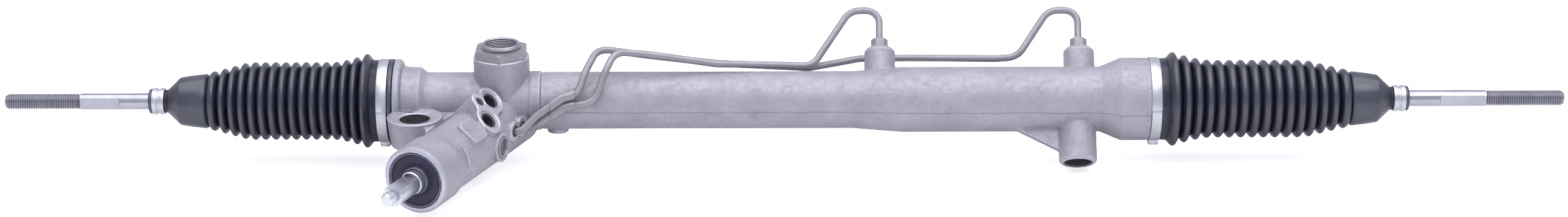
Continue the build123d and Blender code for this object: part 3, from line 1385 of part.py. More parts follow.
    with BuildPart() as boot_clamp:
        clamp_start = housing_end - side * (CLAMP_INSET - CLAMP_WIDTH / 2)
        ring(
            Plane((clamp_start, RACK_Y, RACK_Z), z_dir=(-side, 0, 0)),
            CUFF_R + SEAT_GAP + CLAMP_THICK,
            CUFF_R + SEAT_GAP,
            CLAMP_WIDTH,
        )
        with BuildSketch(EAR_PLANE):
            with Locations((housing_end - side * CLAMP_INSET, 0)):
                Rectangle(CLAMP_EAR[0], CLAMP_EAR[1])
        extrude(amount=CLAMP_EAR[2])
    finish(boot_clamp, f"boot_clamp_{name}")

    with BuildPart() as neck_clip:
        clip_start = housing_end + side * (neck_end - CLIP_INSET)
        ring(
            Plane((clip_start, RACK_Y, RACK_Z), z_dir=(-side, 0, 0)),
            BOOT_NECK_R + NECK_GAP + CLIP_THICK,
            BOOT_NECK_R + NECK_GAP,
            CLIP_WIDTH,
        )
    finish(neck_clip, f"neck_clip_{name}")
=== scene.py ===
"""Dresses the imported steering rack: cast housing, pleated boots, tubes, clamps and threaded rods.

Lengths in the tables are millimetres in the part's own frame. Meshes, bumps and lamps are in metres.
"""

import json
import math

import bmesh
import bpy
import numpy
from mathutils import Matrix, Vector


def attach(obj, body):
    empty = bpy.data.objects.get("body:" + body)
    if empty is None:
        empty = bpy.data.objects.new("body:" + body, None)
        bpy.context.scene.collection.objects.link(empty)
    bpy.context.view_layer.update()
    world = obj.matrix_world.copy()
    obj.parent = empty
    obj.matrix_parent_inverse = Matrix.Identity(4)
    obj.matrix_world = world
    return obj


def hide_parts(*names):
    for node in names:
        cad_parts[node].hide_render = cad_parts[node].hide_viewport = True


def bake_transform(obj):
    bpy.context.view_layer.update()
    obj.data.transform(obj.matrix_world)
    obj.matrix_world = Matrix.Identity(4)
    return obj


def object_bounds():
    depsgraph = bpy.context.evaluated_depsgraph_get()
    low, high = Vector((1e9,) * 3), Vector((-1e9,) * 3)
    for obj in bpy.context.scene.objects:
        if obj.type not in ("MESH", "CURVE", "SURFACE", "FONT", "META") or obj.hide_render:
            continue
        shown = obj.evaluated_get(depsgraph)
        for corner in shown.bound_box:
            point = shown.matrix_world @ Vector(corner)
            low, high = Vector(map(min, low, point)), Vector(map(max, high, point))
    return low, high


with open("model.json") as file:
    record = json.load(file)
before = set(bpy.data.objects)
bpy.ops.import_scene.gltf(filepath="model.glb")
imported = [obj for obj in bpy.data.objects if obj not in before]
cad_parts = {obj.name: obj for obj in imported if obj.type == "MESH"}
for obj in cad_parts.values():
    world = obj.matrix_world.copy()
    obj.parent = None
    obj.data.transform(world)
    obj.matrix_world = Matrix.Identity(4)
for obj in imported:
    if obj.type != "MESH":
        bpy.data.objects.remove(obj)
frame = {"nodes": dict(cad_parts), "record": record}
nodes = frame["nodes"]
cad_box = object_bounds()
scene = bpy.context.scene
MM = 0.001

# --- Where things are ------------------------------------------------------------------------
RACK_Y, RACK_Z = 47.0, 23.5
YOKE_X, MESH_Z = 73.0, 5.372
RIGHT_MOUNT_X = 581.7
LEFT_BALL, RIGHT_BALL = -125.5, 765.5
LEAN = math.radians(22)
PORT_LEAN = math.radians(37)
ALONG_RACK, UP = Vector((1, 0, 0)), Vector((0, 0, 1))
LEFT_MOUNT = Vector((0, 0, 0))
RACK_POINT = Vector((0, RACK_Y, RACK_Z))
YOKE_POINT = Vector((YOKE_X, RACK_Y, RACK_Z))
RIGHT_MOUNT = Vector((RIGHT_MOUNT_X, RACK_Y, RACK_Z))
MESH = Vector((YOKE_X, RACK_Y, MESH_Z))
PINION_DIR = Vector((-math.sin(LEAN), -math.cos(LEAN), 0))
PINION_SIDE = Vector((math.cos(LEAN), -math.sin(LEAN), 0))
PAD_NORMAL = (PINION_SIDE + UP).normalized()
PAD_DOWN = PAD_NORMAL.cross(PINION_DIR)
MOUNT_DIR = Vector((0, -math.sin(PORT_LEAN), -math.cos(PORT_LEAN)))
PAD_HEIGHT = 32.0
SOCKET_FACE, SOCKET_LIFT = 28.8, 4.0  # end of the tube sockets along PINION_SIDE, and their height
SOCKET_STATIONS = {"front": 20.0, "rear": 33.5}

# --- Camera ----------------------------------------------------------------------------------
FRAME_WIDTH = 2576
FOCAL_PIXELS = 5073.0
SENSOR = 36.0
CLIP = (0.1, 50)
DISTANCE = 2.74
ELEVATION = math.radians(19.5)
ROLL = math.radians(0.14)
CENTRE_X = 0.3225
CENTRE_BELOW = 0.0078  # image centre below the rack centre line, in the image plane
view_dir = Vector((0, math.cos(ELEVATION), -math.sin(ELEVATION)))
view_up = Vector((0, math.sin(ELEVATION), math.cos(ELEVATION)))
view_right = Vector((1, 0, 0))
target = Vector((CENTRE_X, RACK_Y * MM, RACK_Z * MM)) - view_up * CENTRE_BELOW
camera_data = bpy.data.cameras.new("camera")
camera_data.sensor_fit = "HORIZONTAL"
camera_data.sensor_width = SENSOR
camera_data.lens = SENSOR * FOCAL_PIXELS / FRAME_WIDTH
camera_data.clip_start, camera_data.clip_end = CLIP
camera = bpy.data.objects.new("camera", camera_data)
right = view_right * math.cos(ROLL) - view_up * math.sin(ROLL)
up = view_up * math.cos(ROLL) + view_right * math.sin(ROLL)
turn_to_view = Matrix((right, up, -view_dir)).transposed().to_4x4()
camera.matrix_world = Matrix.Translation(target - view_dir * DISTANCE) @ turn_to_view
scene.collection.objects.link(camera)
scene.camera = camera
scene.view_settings.view_transform = "Standard"

# --- Materials -------------------------------------------------------------------------------
MIX_FACTOR, MIX_FIRST, MIX_SECOND = 0, 6, 7  # colour inputs of the mix node
MIX_RESULT = 2  # its colour output
NOISE_RANGE = (0.3, 0.7)  # holds nearly all of a noise
MOTTLE_RANGE, MOTTLE_DETAIL = (0.35, 0.65), 3.0
MASK_SOFT = 0.15  # half width of a mask's edge
SEAM_WAVES, SEAM_DETAIL = 60, 3.0
SEAM_WANDER, SEAM_HALF = 0.0004, 0.0009


def scaled(color, factor):
    """Darker or lighter shade of a colour."""
    return tuple(channel * factor for channel in color)


class Nodes:
    """Builds one node material round a Principled shader."""

    def __init__(self, name, color, metallic, roughness):
        self.material = bpy.data.materials.new(name)
        self.material.use_nodes = True
        self.tree = self.material.node_tree
        self.shader = self.tree.nodes["Principled BSDF"].inputs
        self.put(self.shader["Base Color"], (*color, 1))
        self.put(self.shader["Metallic"], metallic)
        self.put(self.shader["Roughness"], roughness)
        self.coords = self.add("ShaderNodeTexCoord").outputs["Object"]
        self.color = color
        self.height = None

    def add(self, kind, **values):
        """New node with some of its settings."""
        node = self.tree.nodes.new(kind)
        for key, value in values.items():
            setattr(node, key, value)
        return node

    def put(self, socket, value):
        """Links a socket to an input, or sets the input to a fixed value."""
        if isinstance(value, bpy.types.NodeSocket):
            self.tree.links.new(value, socket)
        else:
            socket.default_value = value

    def arithmetic(self, kind, operation, *values):
        """Outputs of one arithmetic node on sockets or fixed values."""
        node = self.add(kind, operation=operation)
        for socket, value in zip(node.inputs, values):
            self.put(socket, value)
        return node.outputs

    def math(self, operation, *values):
        return self.arithmetic("ShaderNodeMath", operation, *values)["Value"]

    def vector(self, operation, output, *values):
        return self.arithmetic("ShaderNodeVectorMath", operation, *values)[output]

    def noise(self, scale, detail=2.0, stretch=(1, 1, 1), distortion=0.0):
        """Noise over the part's own coordinates; scale counts waves per metre."""
        mapping = self.add("ShaderNodeMapping")
        mapping.inputs["Scale"].default_value = stretch
        texture = self.add("ShaderNodeTexNoise")
        texture.inputs["Scale"].default_value = scale
        texture.inputs["Detail"].default_value = detail
        texture.inputs["Distortion"].default_value = distortion
        self.put(mapping.inputs["Vector"], self.coords)
        self.put(texture.inputs["Vector"], mapping.outputs["Vector"])
        return texture.outputs["Fac"]

    def pointiness(self):
        """Above a half along outer edges, below it in hollows."""
        return self.add("ShaderNodeNewGeometry").outputs["Pointiness"]

    def ramp(self, value, low, high, out_low, out_high):
        """Maps a value range to another, clamped."""
        node = self.add("ShaderNodeMapRange")
        limits = {"From Min": low, "From Max": high, "To Min": out_low, "To Max": out_high}
        for key, number in limits.items():
            node.inputs[key].default_value = number
        self.put(node.inputs["Value"], value)
        return node.outputs["Result"]

    def shade(self, value, color):
        """Mixes another colour over what the base colour is so far."""
        base = self.shader["Base Color"]
        node = self.add("ShaderNodeMix", data_type="RGBA")
        before = base.links[0].from_socket if base.is_linked else base.default_value
        self.put(node.inputs[MIX_FIRST], before)
        self.put(node.inputs[MIX_SECOND], (*color, 1))
        self.put(node.inputs[MIX_FACTOR], value)
        self.put(base, node.outputs[MIX_RESULT])

    def mottle(self, waves, dark, light):
        """Lets the plain base colour wander between two shades of itself."""
        share = self.ramp(self.noise(waves, MOTTLE_DETAIL), *MOTTLE_RANGE, 0, 1)
        self.put(self.shader["Base Color"], (*scaled(self.color, dark), 1))
        self.shade(share, scaled(self.color, light))

    def rough(self, value, roughness, spread):
        """Lets the roughness follow a noise, between two multiples of its mean."""
        low, high = (roughness * factor for factor in spread)
        self.put(self.shader["Roughness"], self.ramp(value, *NOISE_RANGE, low, high))

    def bump(self, value, distance, strength=1.0):
        """Adds one layer of bump; distance is its height in metres."""
        node = self.add("ShaderNodeBump")
        self.put(node.inputs["Strength"], strength)
        self.put(node.inputs["Distance"], distance)
        self.put(node.inputs["Height"], value)
        if self.height is not None:
            self.put(node.inputs["Normal"], self.height)
        self.height = node.outputs["Normal"]
        self.put(self.shader["Normal"], self.height)

    def inside(self, point, direction, low, high, reach):
        """1 between two levels along a direction and within a reach of its line, else 0; in millimetres."""
        soft = MASK_SOFT * MM
        offset = self.vector("SUBTRACT", "Vector", self.coords, Vector(point) * MM)
        level = self.vector("DOT_PRODUCT", "Value", offset, direction)
        across = self.vector("CROSS_PRODUCT", "Vector", offset, direction)
        away = self.vector("LENGTH", "Value", across)
        above = self.ramp(level, low * MM - soft, low * MM + soft, 0, 1)
        below = self.ramp(level, high * MM - soft, high * MM + soft, 1, 0)
        beside = self.ramp(away, reach * MM - soft, reach * MM + soft, 1, 0)
        return self.math("MULTIPLY", self.math("MULTIPLY", above, below), beside)

    def seam(self, level):
        """Mould line across the casting at a height, a little wavy; 1 on the line, 0 beside it."""
        height = self.add("ShaderNodeSeparateXYZ")
        self.put(height.inputs["Vector"], self.coords)
        wander = self.noise(SEAM_WAVES, SEAM_DETAIL)
        shift = self.ramp(wander, *NOISE_RANGE, -level - SEAM_WANDER, SEAM_WANDER - level)
        away = self.math("ABSOLUTE", self.math("ADD", height.outputs["Z"], shift))
        return self.ramp(away, 0, SEAM_HALF, 1, 0)


CAST = (0.41, 0.405, 0.455)
CAST_METALLIC, CAST_ROUGHNESS = 0.6, (0.48, 0.7)
CAST_MOTTLE = (42, 0.93, 1.06)  # waves per metre and two shades
CAST_POLISH = (200, 3.0)  # waves per metre and detail of the roughness
# Stains: waves per metre, detail, stretch, distortion, the range of noise that shows, share and shade.
CAST_STAINS = (
    (120, 4.0, (0.5, 1, 1), 1.5, (0.58, 0.74), 0.4, 0.62),
    (750, 2.0, (1, 1, 1), 0.0, (0.64, 0.78), 0.35, 0.45),
)
# Bumps: waves per metre, detail, height and strength.
CAST_BUMPS = ((110, 2.0, 0.0007, 0.6), (420, 3.0, 0.0003, 0.7), (1500, 3.0, 0.00018, 1.0))
CUT_SHARE, CUT_SHADE, CUT_SMOOTHING = 0.8, 1.35, 0.24
# Painted shade inside the mounts' bores.
PAINTED_BORE_SHADE_SHARE, PAINTED_BORE_SHADE = 0.85, 0.2
# Painted highlight: outer edges lighter by the tone here, from the mesh's pointiness.
EDGE_HIGHLIGHT_RAMP, EDGE_HIGHLIGHT_TONE = (0.505, 0.56, 0, 0.7), 1.7  # ramps over the mesh's pointiness
# Painted shade: hollow corners darker by the tone here, from the mesh's pointiness.
CORNER_SHADE_RAMP, CORNER_SHADE = (0.495, 0.43, 0, 0.75), 0.3
SEAM_SHARE, SEAM_SHADE, SEAM_RISE = 0.3, 0.5, 0.0004


def cast_metal(name, cut_rows, painted_shade_bore_row, seam_level=None):
    """Sand-cast aluminium: fine grain over soft dents and cut faces, with a painted highlight on outer edges
    and painted shade in hollow corners and bores.
    """
    made = Nodes(name, CAST, CAST_METALLIC, CAST_ROUGHNESS[0])
    cut = 0.0
    for row in cut_rows:
        cut = made.math("MAXIMUM", made.inside(*row), cut)
    uncut = made.math("SUBTRACT", 1.0, cut)
    made.mottle(*CAST_MOTTLE)
    for waves, detail, stretch, distortion, span, share, shade in CAST_STAINS:
        stain = made.ramp(made.noise(waves, detail, stretch, distortion), *span, 0, share)
        made.shade(stain, scaled(CAST, shade))
    made.shade(made.math("MULTIPLY", cut, CUT_SHARE), scaled(CAST, CUT_SHADE))
    # Painted shade inside the bore.
    made.shade(made.math("MULTIPLY", made.inside(*painted_shade_bore_row), PAINTED_BORE_SHADE_SHARE), scaled(CAST, PAINTED_BORE_SHADE))
    bend = made.pointiness()
    # Painted highlight on outer edges.
    made.shade(made.ramp(bend, *EDGE_HIGHLIGHT_RAMP), scaled(CAST, EDGE_HIGHLIGHT_TONE))
    # Painted shade in hollow corners.
    made.shade(made.ramp(bend, *CORNER_SHADE_RAMP), scaled(CAST, CORNER_SHADE))
    uneven = made.ramp(made.noise(*CAST_POLISH), *NOISE_RANGE, *CAST_ROUGHNESS)
    polish = made.math("MULTIPLY", cut, CUT_SMOOTHING)
    made.put(made.shader["Roughness"], made.math("SUBTRACT", uneven, polish))
    for waves, detail, height, strength in CAST_BUMPS:
        made.bump(made.noise(waves, detail), height, made.math("MULTIPLY", uncut, strength))
    if seam_level is not None:
        seam = made.seam(seam_level)
        made.shade(made.ramp(seam, 0, 1, 0, SEAM_SHARE), scaled(CAST, SEAM_SHADE))
        made.bump(seam, SEAM_RISE)
    return made.material


METAL_MOTTLE, METAL_SPREAD = (70, 0.92, 1.06), (0.8, 1.3)


def turned_metal(name, color, roughness, metallic=0.9, stretch=(1, 1, 1), line=2600, line_height=0.00002):
    """Turned, plated or drawn metal: fine grain, pulled into lines where it is stretched."""
    made = Nodes(name, color, metallic, roughness)
    made.mottle(*METAL_MOTTLE)
    lines = made.noise(line, stretch=stretch)
    made.rough(lines, roughness, METAL_SPREAD)
    made.bump(lines, line_height)
    return made.material


FOLD_TO_RIDGE, FOLD_GLOSS = (0.47, 0.52), 0.12
# Painted highlight: ridges lighter by the tone here, from the mesh's pointiness.
RIDGE_HIGHLIGHT_RAMP, RIDGE_HIGHLIGHT_TONE = (0.505, 0.54, 0, 0.7), 3.2
BLOOM_WAVES, BLOOM_DETAIL, BLOOM_SWIRL = 55, 4.0, 0.8
BLOOM, BLOOM_SHADE = (0.48, 0.72, 0, 0.55), 2.2
RUBBER_POLISH, RUBBER_SPREAD = (300, 3.0), (0.85, 1.2)
RUBBER_BUMPS = ((1500, 0.00003, 0.5), (110, 0.0003, 0.35))  # waves per metre, height and strength


def rubber(name, color, roughness, gloss):
    """Moulded rubber: glossy ridges lit by a painted highlight, random bloom, dull black folds and faint
    mould grain.
    """
    made = Nodes(name, color, 0.0, roughness)
    bend = made.pointiness()
    made.put(made.shader["Specular IOR Level"], made.ramp(bend, *FOLD_TO_RIDGE, FOLD_GLOSS, gloss))
    # Painted highlight on the ridges.
    made.shade(made.ramp(bend, *RIDGE_HIGHLIGHT_RAMP), scaled(color, RIDGE_HIGHLIGHT_TONE))
    bloom = made.noise(BLOOM_WAVES, BLOOM_DETAIL, distortion=BLOOM_SWIRL)
    made.shade(made.ramp(bloom, *BLOOM), scaled(color, BLOOM_SHADE))
    made.rough(made.noise(*RUBBER_POLISH), roughness, RUBBER_SPREAD)
    for waves, height, strength in RUBBER_BUMPS:
        made.bump(made.noise(waves), height, strength)
    return made.material


# Masks: a point and a direction, two levels along it and a reach round it.
SOCKET_FACES = tuple(
    (MESH + PINION_DIR * station + UP * SOCKET_LIFT, PINION_SIDE, SOCKET_FACE - 0.7, SOCKET_FACE + 0.7, 10)
    for station in SOCKET_STATIONS.values()
)
PINION_FACES = (
    (MESH + PINION_DIR * 53 - PAD_DOWN * 8, PAD_NORMAL, PAD_HEIGHT - 0.7, PAD_HEIGHT + 1, 27),  # port pad
    (MESH, PINION_DIR, 164.2, 166, 40),  # end of the tower's mouth
    (MESH, PINION_DIR, 150, 166, 25.6),  # bore of the mouth
    (LEFT_MOUNT, UP, -1, 26.5, 20.9),  # bore and seat of the left mount
    (LEFT_MOUNT, UP, 24.8, 26.5, 24.4),  # top of the left mount
    (YOKE_POINT, UP, 41.6, 43, 26),  # top of the yoke boss
    *SOCKET_FACES,
)
CYLINDER_FACES = ((RIGHT_MOUNT, MOUNT_DIR, 58.7, 60, 20),)
# Castings: faces a cutter has left smooth, the bore darkened with painted shade and the mould line's height
# in metres.
CASTINGS = {
    "cast_aluminium": (PINION_FACES, (LEFT_MOUNT, UP, -1, 22.6, 14.2)),
    "cast_cylinder": (CYLINDER_FACES, (RIGHT_MOUNT, MOUNT_DIR, 30, 59.0, 12.6), 0.0205),
}
METALS = {
    "machined_aluminium": {"color": (0.5, 0.5, 0.54), "roughness": 0.3},
    "zinc_steel": {
        "color": (0.34, 0.34, 0.365),
        "roughness": 0.46,
        "metallic": 0.7,
        "line": 700,
        "line_height": 0.000006,
    },
    "steel": {"color": (0.72, 0.72, 0.78), "roughness": 0.3},
    "bright_rod": {"color": (0.46, 0.46, 0.52), "roughness": 0.16, "stretch": (4, 0.4, 0.4)},
    "liner_plastic": {"color": (0.75, 0.73, 0.66), "roughness": 0.5, "metallic": 0.0, "line": 600},
    "thread_steel": {"color": (0.36, 0.36, 0.4), "roughness": 0.36},
    "port_steel": {"color": (0.13, 0.13, 0.16), "roughness": 0.4},
    "band_steel": {"color": (0.6, 0.6, 0.66), "roughness": 0.34, "line": 1800, "line_height": 0.000006},
}
RUBBERS = {  # colour, roughness and gloss of the ridges
    "boot_rubber": ((0.013, 0.014, 0.026), 0.29, 1.0),
    "seal_rubber": ((0.02, 0.02, 0.032), 0.3, 0.9),
    "cover_rubber": ((0.034, 0.033, 0.06), 0.36, 1.0),
    # dark_hole is painted shade: dark rings round the tubes at their sockets.
    "dark_hole": ((0.01, 0.01, 0.014), 0.5, 0.5),
}
materials = {name: cast_metal(name, *recipe) for name, recipe in CASTINGS.items()}
materials |= {name: turned_metal(name, **recipe) for name, recipe in METALS.items()}
materials |= {name: rubber(name, *recipe) for name, recipe in RUBBERS.items()}

# --- Meshes ----------------------------------------------------------------------------------
# Edges turning by more than this angle stay sharp.
SHARP, FINE_EDGE, ROD_EDGE = math.radians(38), math.radians(25), math.radians(30)
BAND_EDGE, SOFT_EDGE = math.radians(50), math.radians(60)
MERGE = 1e-7
RING_SEGMENTS = 128


def piece(name, verts, faces, material, sharp=SHARP):
    """New mesh object from millimetre points, smooth except at sharp edges."""
    mesh = bpy.data.meshes.new(name)
    mesh.from_pydata([tuple(Vector(v) * MM) for v in verts], [], faces)
    mesh.validate()
    shaper = bmesh.new()
    shaper.from_mesh(mesh)
    bmesh.ops.remove_doubles(shaper, verts=shaper.verts, dist=MERGE)
    bmesh.ops.recalc_face_normals(shaper, faces=shaper.faces)
    shaper.to_mesh(mesh)
    shaper.free()
    mesh.shade_smooth()
    mesh.set_sharp_from_angle(angle=sharp)
    made = bpy.data.objects.new(name, mesh)
    scene.collection.objects.link(made)
    made.data.materials.append(materials[material])
    return made


def grid_faces(rows, columns, closed_rows=False):
    """Quads of a grid whose columns wrap round; its rows wrap too where it closes on itself."""
    faces = []
    for row in range(rows if closed_rows else rows - 1):
        for column in range(columns):
            a = row * columns + column
            b = row * columns + (column + 1) % columns
            above = ((row + 1) % rows) * columns
            faces.append((a, b, above + (column + 1) % columns, above + column))
    return faces


def turned(outline, point, axis, segments):
    """Points and faces of a closed outline of (station, radius) points turned round an axis."""
    axis = Vector(axis).normalized()
    across = axis.orthogonal().normalized()
    other = axis.cross(across)
    verts = []
    for station, radius in outline:
        for step in range(segments):
            angle = 2 * math.pi * step / segments
            spoke = across * math.cos(angle) + other * math.sin(angle)
            verts.append(Vector(point) + axis * station + spoke * radius)
    return verts, grid_faces(len(outline), segments, closed_rows=True)


def lathe(name, outline, point, axis, material, segments=96, sharp=SHARP):
    """Closed ring turned from a closed outline of (station, radius) points."""
    verts, faces = turned(outline, point, axis, segments)
    return piece(name, verts, faces, material, sharp)


def add_turned(mesh, outline, point, axis):
    """Adds a closed turned ring to a mesh, for the remesh to fuse with it."""
    verts, faces = turned(outline, point, axis, RING_SEGMENTS)
    shaper = bmesh.new()
    shaper.from_mesh(mesh)
    corners = [shaper.verts.new(vert * MM) for vert in verts]
    ring = [shaper.faces.new([corners[index] for index in face]) for face in faces]
    bmesh.ops.recalc_face_normals(shaper, faces=ring)
    shaper.to_mesh(mesh)
    shaper.free()


def ease(value, low, high):
    """0 up to low, 1 from high on, and smooth between."""
    share = numpy.clip((value - low) / (high - low), 0, 1)
    return share * share * (3 - 2 * share)


# --- Left mount, tower mouth and cylinder end, where the castings leave the solids --------------
# Left mount: faces of the solid, faces as seen, its radius, and radii as seen at the bottom and the top.
EYE_SOLID, EYE_SEEN = (-20.0, 20.0), (-0.5, 25.5)
EYE_R, EYE_TAPER = 23.5, (21.0, 24.3)
EYE_WALL_IN, EYE_WALL_OUT = (20.5, 22.5), (24.2, 30)  # the taper fades in and out over these radii
SEAT_IN, SEAT_OUT, SEAT_LEVEL, SEAT_SPREAD = (14.5, 20.5), (20.5, 23), (0.8, 0.95), 1.4
# The lift stays clear of the tower, its mouth, the barrel and its collar, and fades in beside them.
TOWER_R, MOUTH_RISE, MOUTH_STATIONS = (27.4, 28.6), 2.8, (121, 126)
BARREL_R, BARREL_COLLAR_R = 25.4, 31.0
BARREL_FADE, COLLAR_FADE = (0.4, 2.4), (-5, 1)
LIFT_X, LIFT_HALF, LIFT_SIDE = (-25, 70), 21, -5


def lift_mount(points):
    """Raises the left mount and its web, shortens them and tapers the mount downwards."""
    place = points / MM
    x, y, z = place.T
    from_mesh = place - numpy.array(MESH)
    along = from_mesh @ numpy.array(PINION_DIR)
    off_tower = numpy.linalg.norm(from_mesh - along[:, None] * numpy.array(PINION_DIR), axis=1)
    off_tower = off_tower - MOUTH_RISE * ease(along, *MOUTH_STATIONS)
    off_barrel = numpy.hypot(y - RACK_Y, z - RACK_Z)
    off_barrel = off_barrel - BARREL_R - (BARREL_COLLAR_R - BARREL_R) * (1 - ease(x, *COLLAR_FADE))
    beside_tower = from_mesh @ numpy.array(PINION_SIDE) < LIFT_SIDE
    inside = (x > LIFT_X[0]) & (x < LIFT_X[1]) & (y < RACK_Y) & (abs(z) < LIFT_HALF) & beside_tower
    share = ease(off_tower, *TOWER_R) * ease(off_barrel, *BARREL_FADE) * inside
    level = (z - EYE_SOLID[0]) / (EYE_SOLID[1] - EYE_SOLID[0])
    raised = EYE_SEEN[0] + (EYE_SEEN[1] - EYE_SEEN[0]) * level
    radius = numpy.hypot(x, y)
    wall = ease(radius, *EYE_WALL_IN) * (1 - ease(radius, *EYE_WALL_OUT))
    seat = ease(radius, *SEAT_IN) * (1 - ease(radius, *SEAT_OUT)) * ease(level, *SEAT_LEVEL)
    shift = wall * (EYE_TAPER[0] + (EYE_TAPER[1] - EYE_TAPER[0]) * level - EYE_R) + SEAT_SPREAD * seat
    spread = 1 + share * shift / numpy.maximum(radius, 1)
    moved = numpy.column_stack((x * spread, y * spread, z + share * (raised - z)))
    return moved * MM


# Rings fused with the castings, as (station, radius): the tower's thicker mouth, from the mesh point, and
# the bead on the cylinder's end, beside the boot.
MOUTH = [(126, 25.8), (127, 27.2), (132, 29.4), (163.2, 29.4), (165, 27.6), (165, 24.75), (150, 24.75)]
MOUTH += [(150, 25.8)]
END_BEAD = [(640, 31), (640, 35.4), (642.4, 36.6), (645, 36.6), (645.3, 36.2), (645.3, 31)]
ADDED = {
    "pinion_housing": (MOUTH, MESH, PINION_DIR),
    "cylinder_housing": (END_BEAD, RACK_POINT, ALONG_RACK),
}

# --- Cast housings: the CAD solids with rounded corners ---------------------------------------
VOXEL = 0.85
FILLET_R = 3.2  # reached in hollow corners
ROUND_STEPS = 26
EDGE_STEPS = 2  # soft steps that take the sharpness off outer edges
EDGE_PULL, FILLET_PULL = 0.5, 0.7  # of the way to the neighbours' mean in one step


def neighbour_mean(points, edges, degree):
    """Mean place of each vertex's neighbours."""
    total = numpy.empty_like(points)
    for axis in range(3):
        total[:, axis] = numpy.bincount(edges[:, 0], points[edges[:, 1], axis], len(points))
        total[:, axis] += numpy.bincount(edges[:, 1], points[edges[:, 0], axis], len(points))
    return total / degree[:, None]


def round_corners(mesh, points):
    """Softens the outer edges of a mesh and fills its hollow corners to the fillet's radius."""
    count = len(points)
    edges = numpy.empty(len(mesh.edges) * 2, dtype=numpy.int64)
    mesh.edges.foreach_get("vertices", edges)
    edges = edges.reshape(-1, 2)
    degree = numpy.bincount(edges.ravel(), minlength=count).astype(float)
    hollow = (VOXEL * MM) ** 2 / (2 * FILLET_R * MM)
    normals = numpy.empty(count * 3)
    for step in range(ROUND_STEPS):
        mesh.vertices.foreach_set("co", points.ravel())
        mesh.update()
        mesh.vertex_normals.foreach_get("vector", normals)
        pull = neighbour_mean(points, edges, degree) - points
        if step < EDGE_STEPS:
            points = points + pull * EDGE_PULL
        else:
            rise = (pull * normals.reshape(-1, 3)).sum(axis=1)
            share = numpy.clip((rise - hollow) / hollow, 0, 1) * FILLET_PULL
            points = points + pull * share[:, None]
    mesh.vertices.foreach_set("co", points.ravel())
    mesh.update()


def cast_copy(node_name, material):
    """Remeshed copy of a cast node with its added ring, rounded as a sand casting."""
    made = bpy.data.objects.new(f"cast_{node_name}", bpy.data.meshes.new_from_object(nodes[node_name]))
    scene.collection.objects.link(made)
    add_turned(made.data, *ADDED[node_name])
    remesh = made.modifiers.new("remesh", "REMESH")
    remesh.mode = "VOXEL"
    remesh.voxel_size = VOXEL * MM
    bpy.context.view_layer.update()
    mesh = bpy.data.meshes.new_from_object(made.evaluated_get(bpy.context.evaluated_depsgraph_get()))
    made.modifiers.clear()
    made.data = mesh
    points = numpy.empty(len(mesh.vertices) * 3)
    mesh.vertices.foreach_get("co", points)
    points = points.reshape(-1, 3)
    if node_name == "pinion_housing":
        points = lift_mount(points)
    round_corners(mesh, points)
    mesh.shade_smooth()
    mesh.materials.clear()
    mesh.materials.append(materials[material])
    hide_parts(node_name)
    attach(made, "housing")


cast_copy("pinion_housing", "cast_aluminium")
cast_copy("cylinder_housing", "cast_cylinder")

# --- Tie rods: ball, neck, bright rod, wrench flats and rolled thread --------------------------
ROD_R, ROD_THREAD_R = 7.25, 7.0
THREAD_PITCH, THREAD_DEPTH = 2.0, 1.15
THREAD_ROWS = 10  # rows of points in one turn
THREAD_PLAIN, THREAD_LEAD = 3, 1.6  # left plain at both ends together, and at the start
THREAD_TAIL, THREAD_FADE = 1.2, 1.5  # plain end, and the run-out before it
CREST_SLOPE, CREST_DROP = 1.25, 0.05
ROOT_R = ROD_THREAD_R - THREAD_DEPTH
TIP_R = ROD_THREAD_R - 1.9
CENTRE_HOLE_R, CENTRE_HOLE_DEPTH = 1.2, 1.0
POLE_R = 0.05  # closes a turned piece on its axis
ROD_SEGMENTS = 72
BALL_R, BALL_STEPS = 13.5, 14
NECK_START, NECK_TAPER, NECK_OUT_R, FLAT_HALF = 17.0, 1.75, 5.5, 6.0
FLAT_EDGE = 0.4  # from the end of a flat to the next row of points
RODS = {  # side, ball, length, length of the thread and of the flats
    "left": (-1, LEFT_BALL, 242.1, 66.6, 34.6),
    "right": (1, RIGHT_BALL, 248.2, 69.1, 40.5),
}


def thread_radius(station, turn):
    """Radius of a rolled thread with rounded crests, at a station and a share of a turn."""
    share = (station / THREAD_PITCH - turn) % 1
    wave = abs(2 * share - 1)
    return ROD_THREAD_R - THREAD_DEPTH * (1 - min(1.0, max(0.0, CREST_SLOPE * wave - CREST_DROP)))


def rod_rows(length, thread, flats):
    """Rows of a tie rod from its ball to its tip, as (station, radius, kind)."""
    neck_angle = math.asin(NECK_OUT_R / BALL_R)
    angles = [math.pi - (math.pi - neck_angle) * step / BALL_STEPS for step in range(BALL_STEPS + 1)]
    rows = [(BALL_R * math.cos(angle), max(POLE_R, BALL_R * math.sin(angle)), "round") for angle in angles]
    thread_start = length - thread
    flat_start = thread_start - flats
    rows += [(NECK_START, NECK_OUT_R, "round"), (NECK_START + NECK_TAPER, ROD_R, "round")]
    rows += [(flat_start - 0.9, ROD_R, "round"), (flat_start - 0.85, ROD_R, "round")]
    rows += [(flat_start, ROD_R, "flat"), (flat_start + FLAT_EDGE, ROD_R, "flat")]
    rows += [(thread_start - FLAT_EDGE, ROD_R, "flat"), (thread_start, ROD_R, "flat")]
    rows += [(thread_start + 0.05, ROD_R, "round"), (thread_start + 0.8, ROOT_R, "round")]
    count = int((thread - THREAD_PLAIN) / THREAD_PITCH * THREAD_ROWS)
    first = thread_start + THREAD_LEAD
    rows += [(first + step * THREAD_PITCH / THREAD_ROWS, ROOT_R, "thread") for step in range(count)]
    rows += [(length - 0.9, ROOT_R, "round"), (length, TIP_R, "round")]
    return rows + [(length, CENTRE_HOLE_R, "round"), (length - CENTRE_HOLE_DEPTH, POLE_R, "round")]


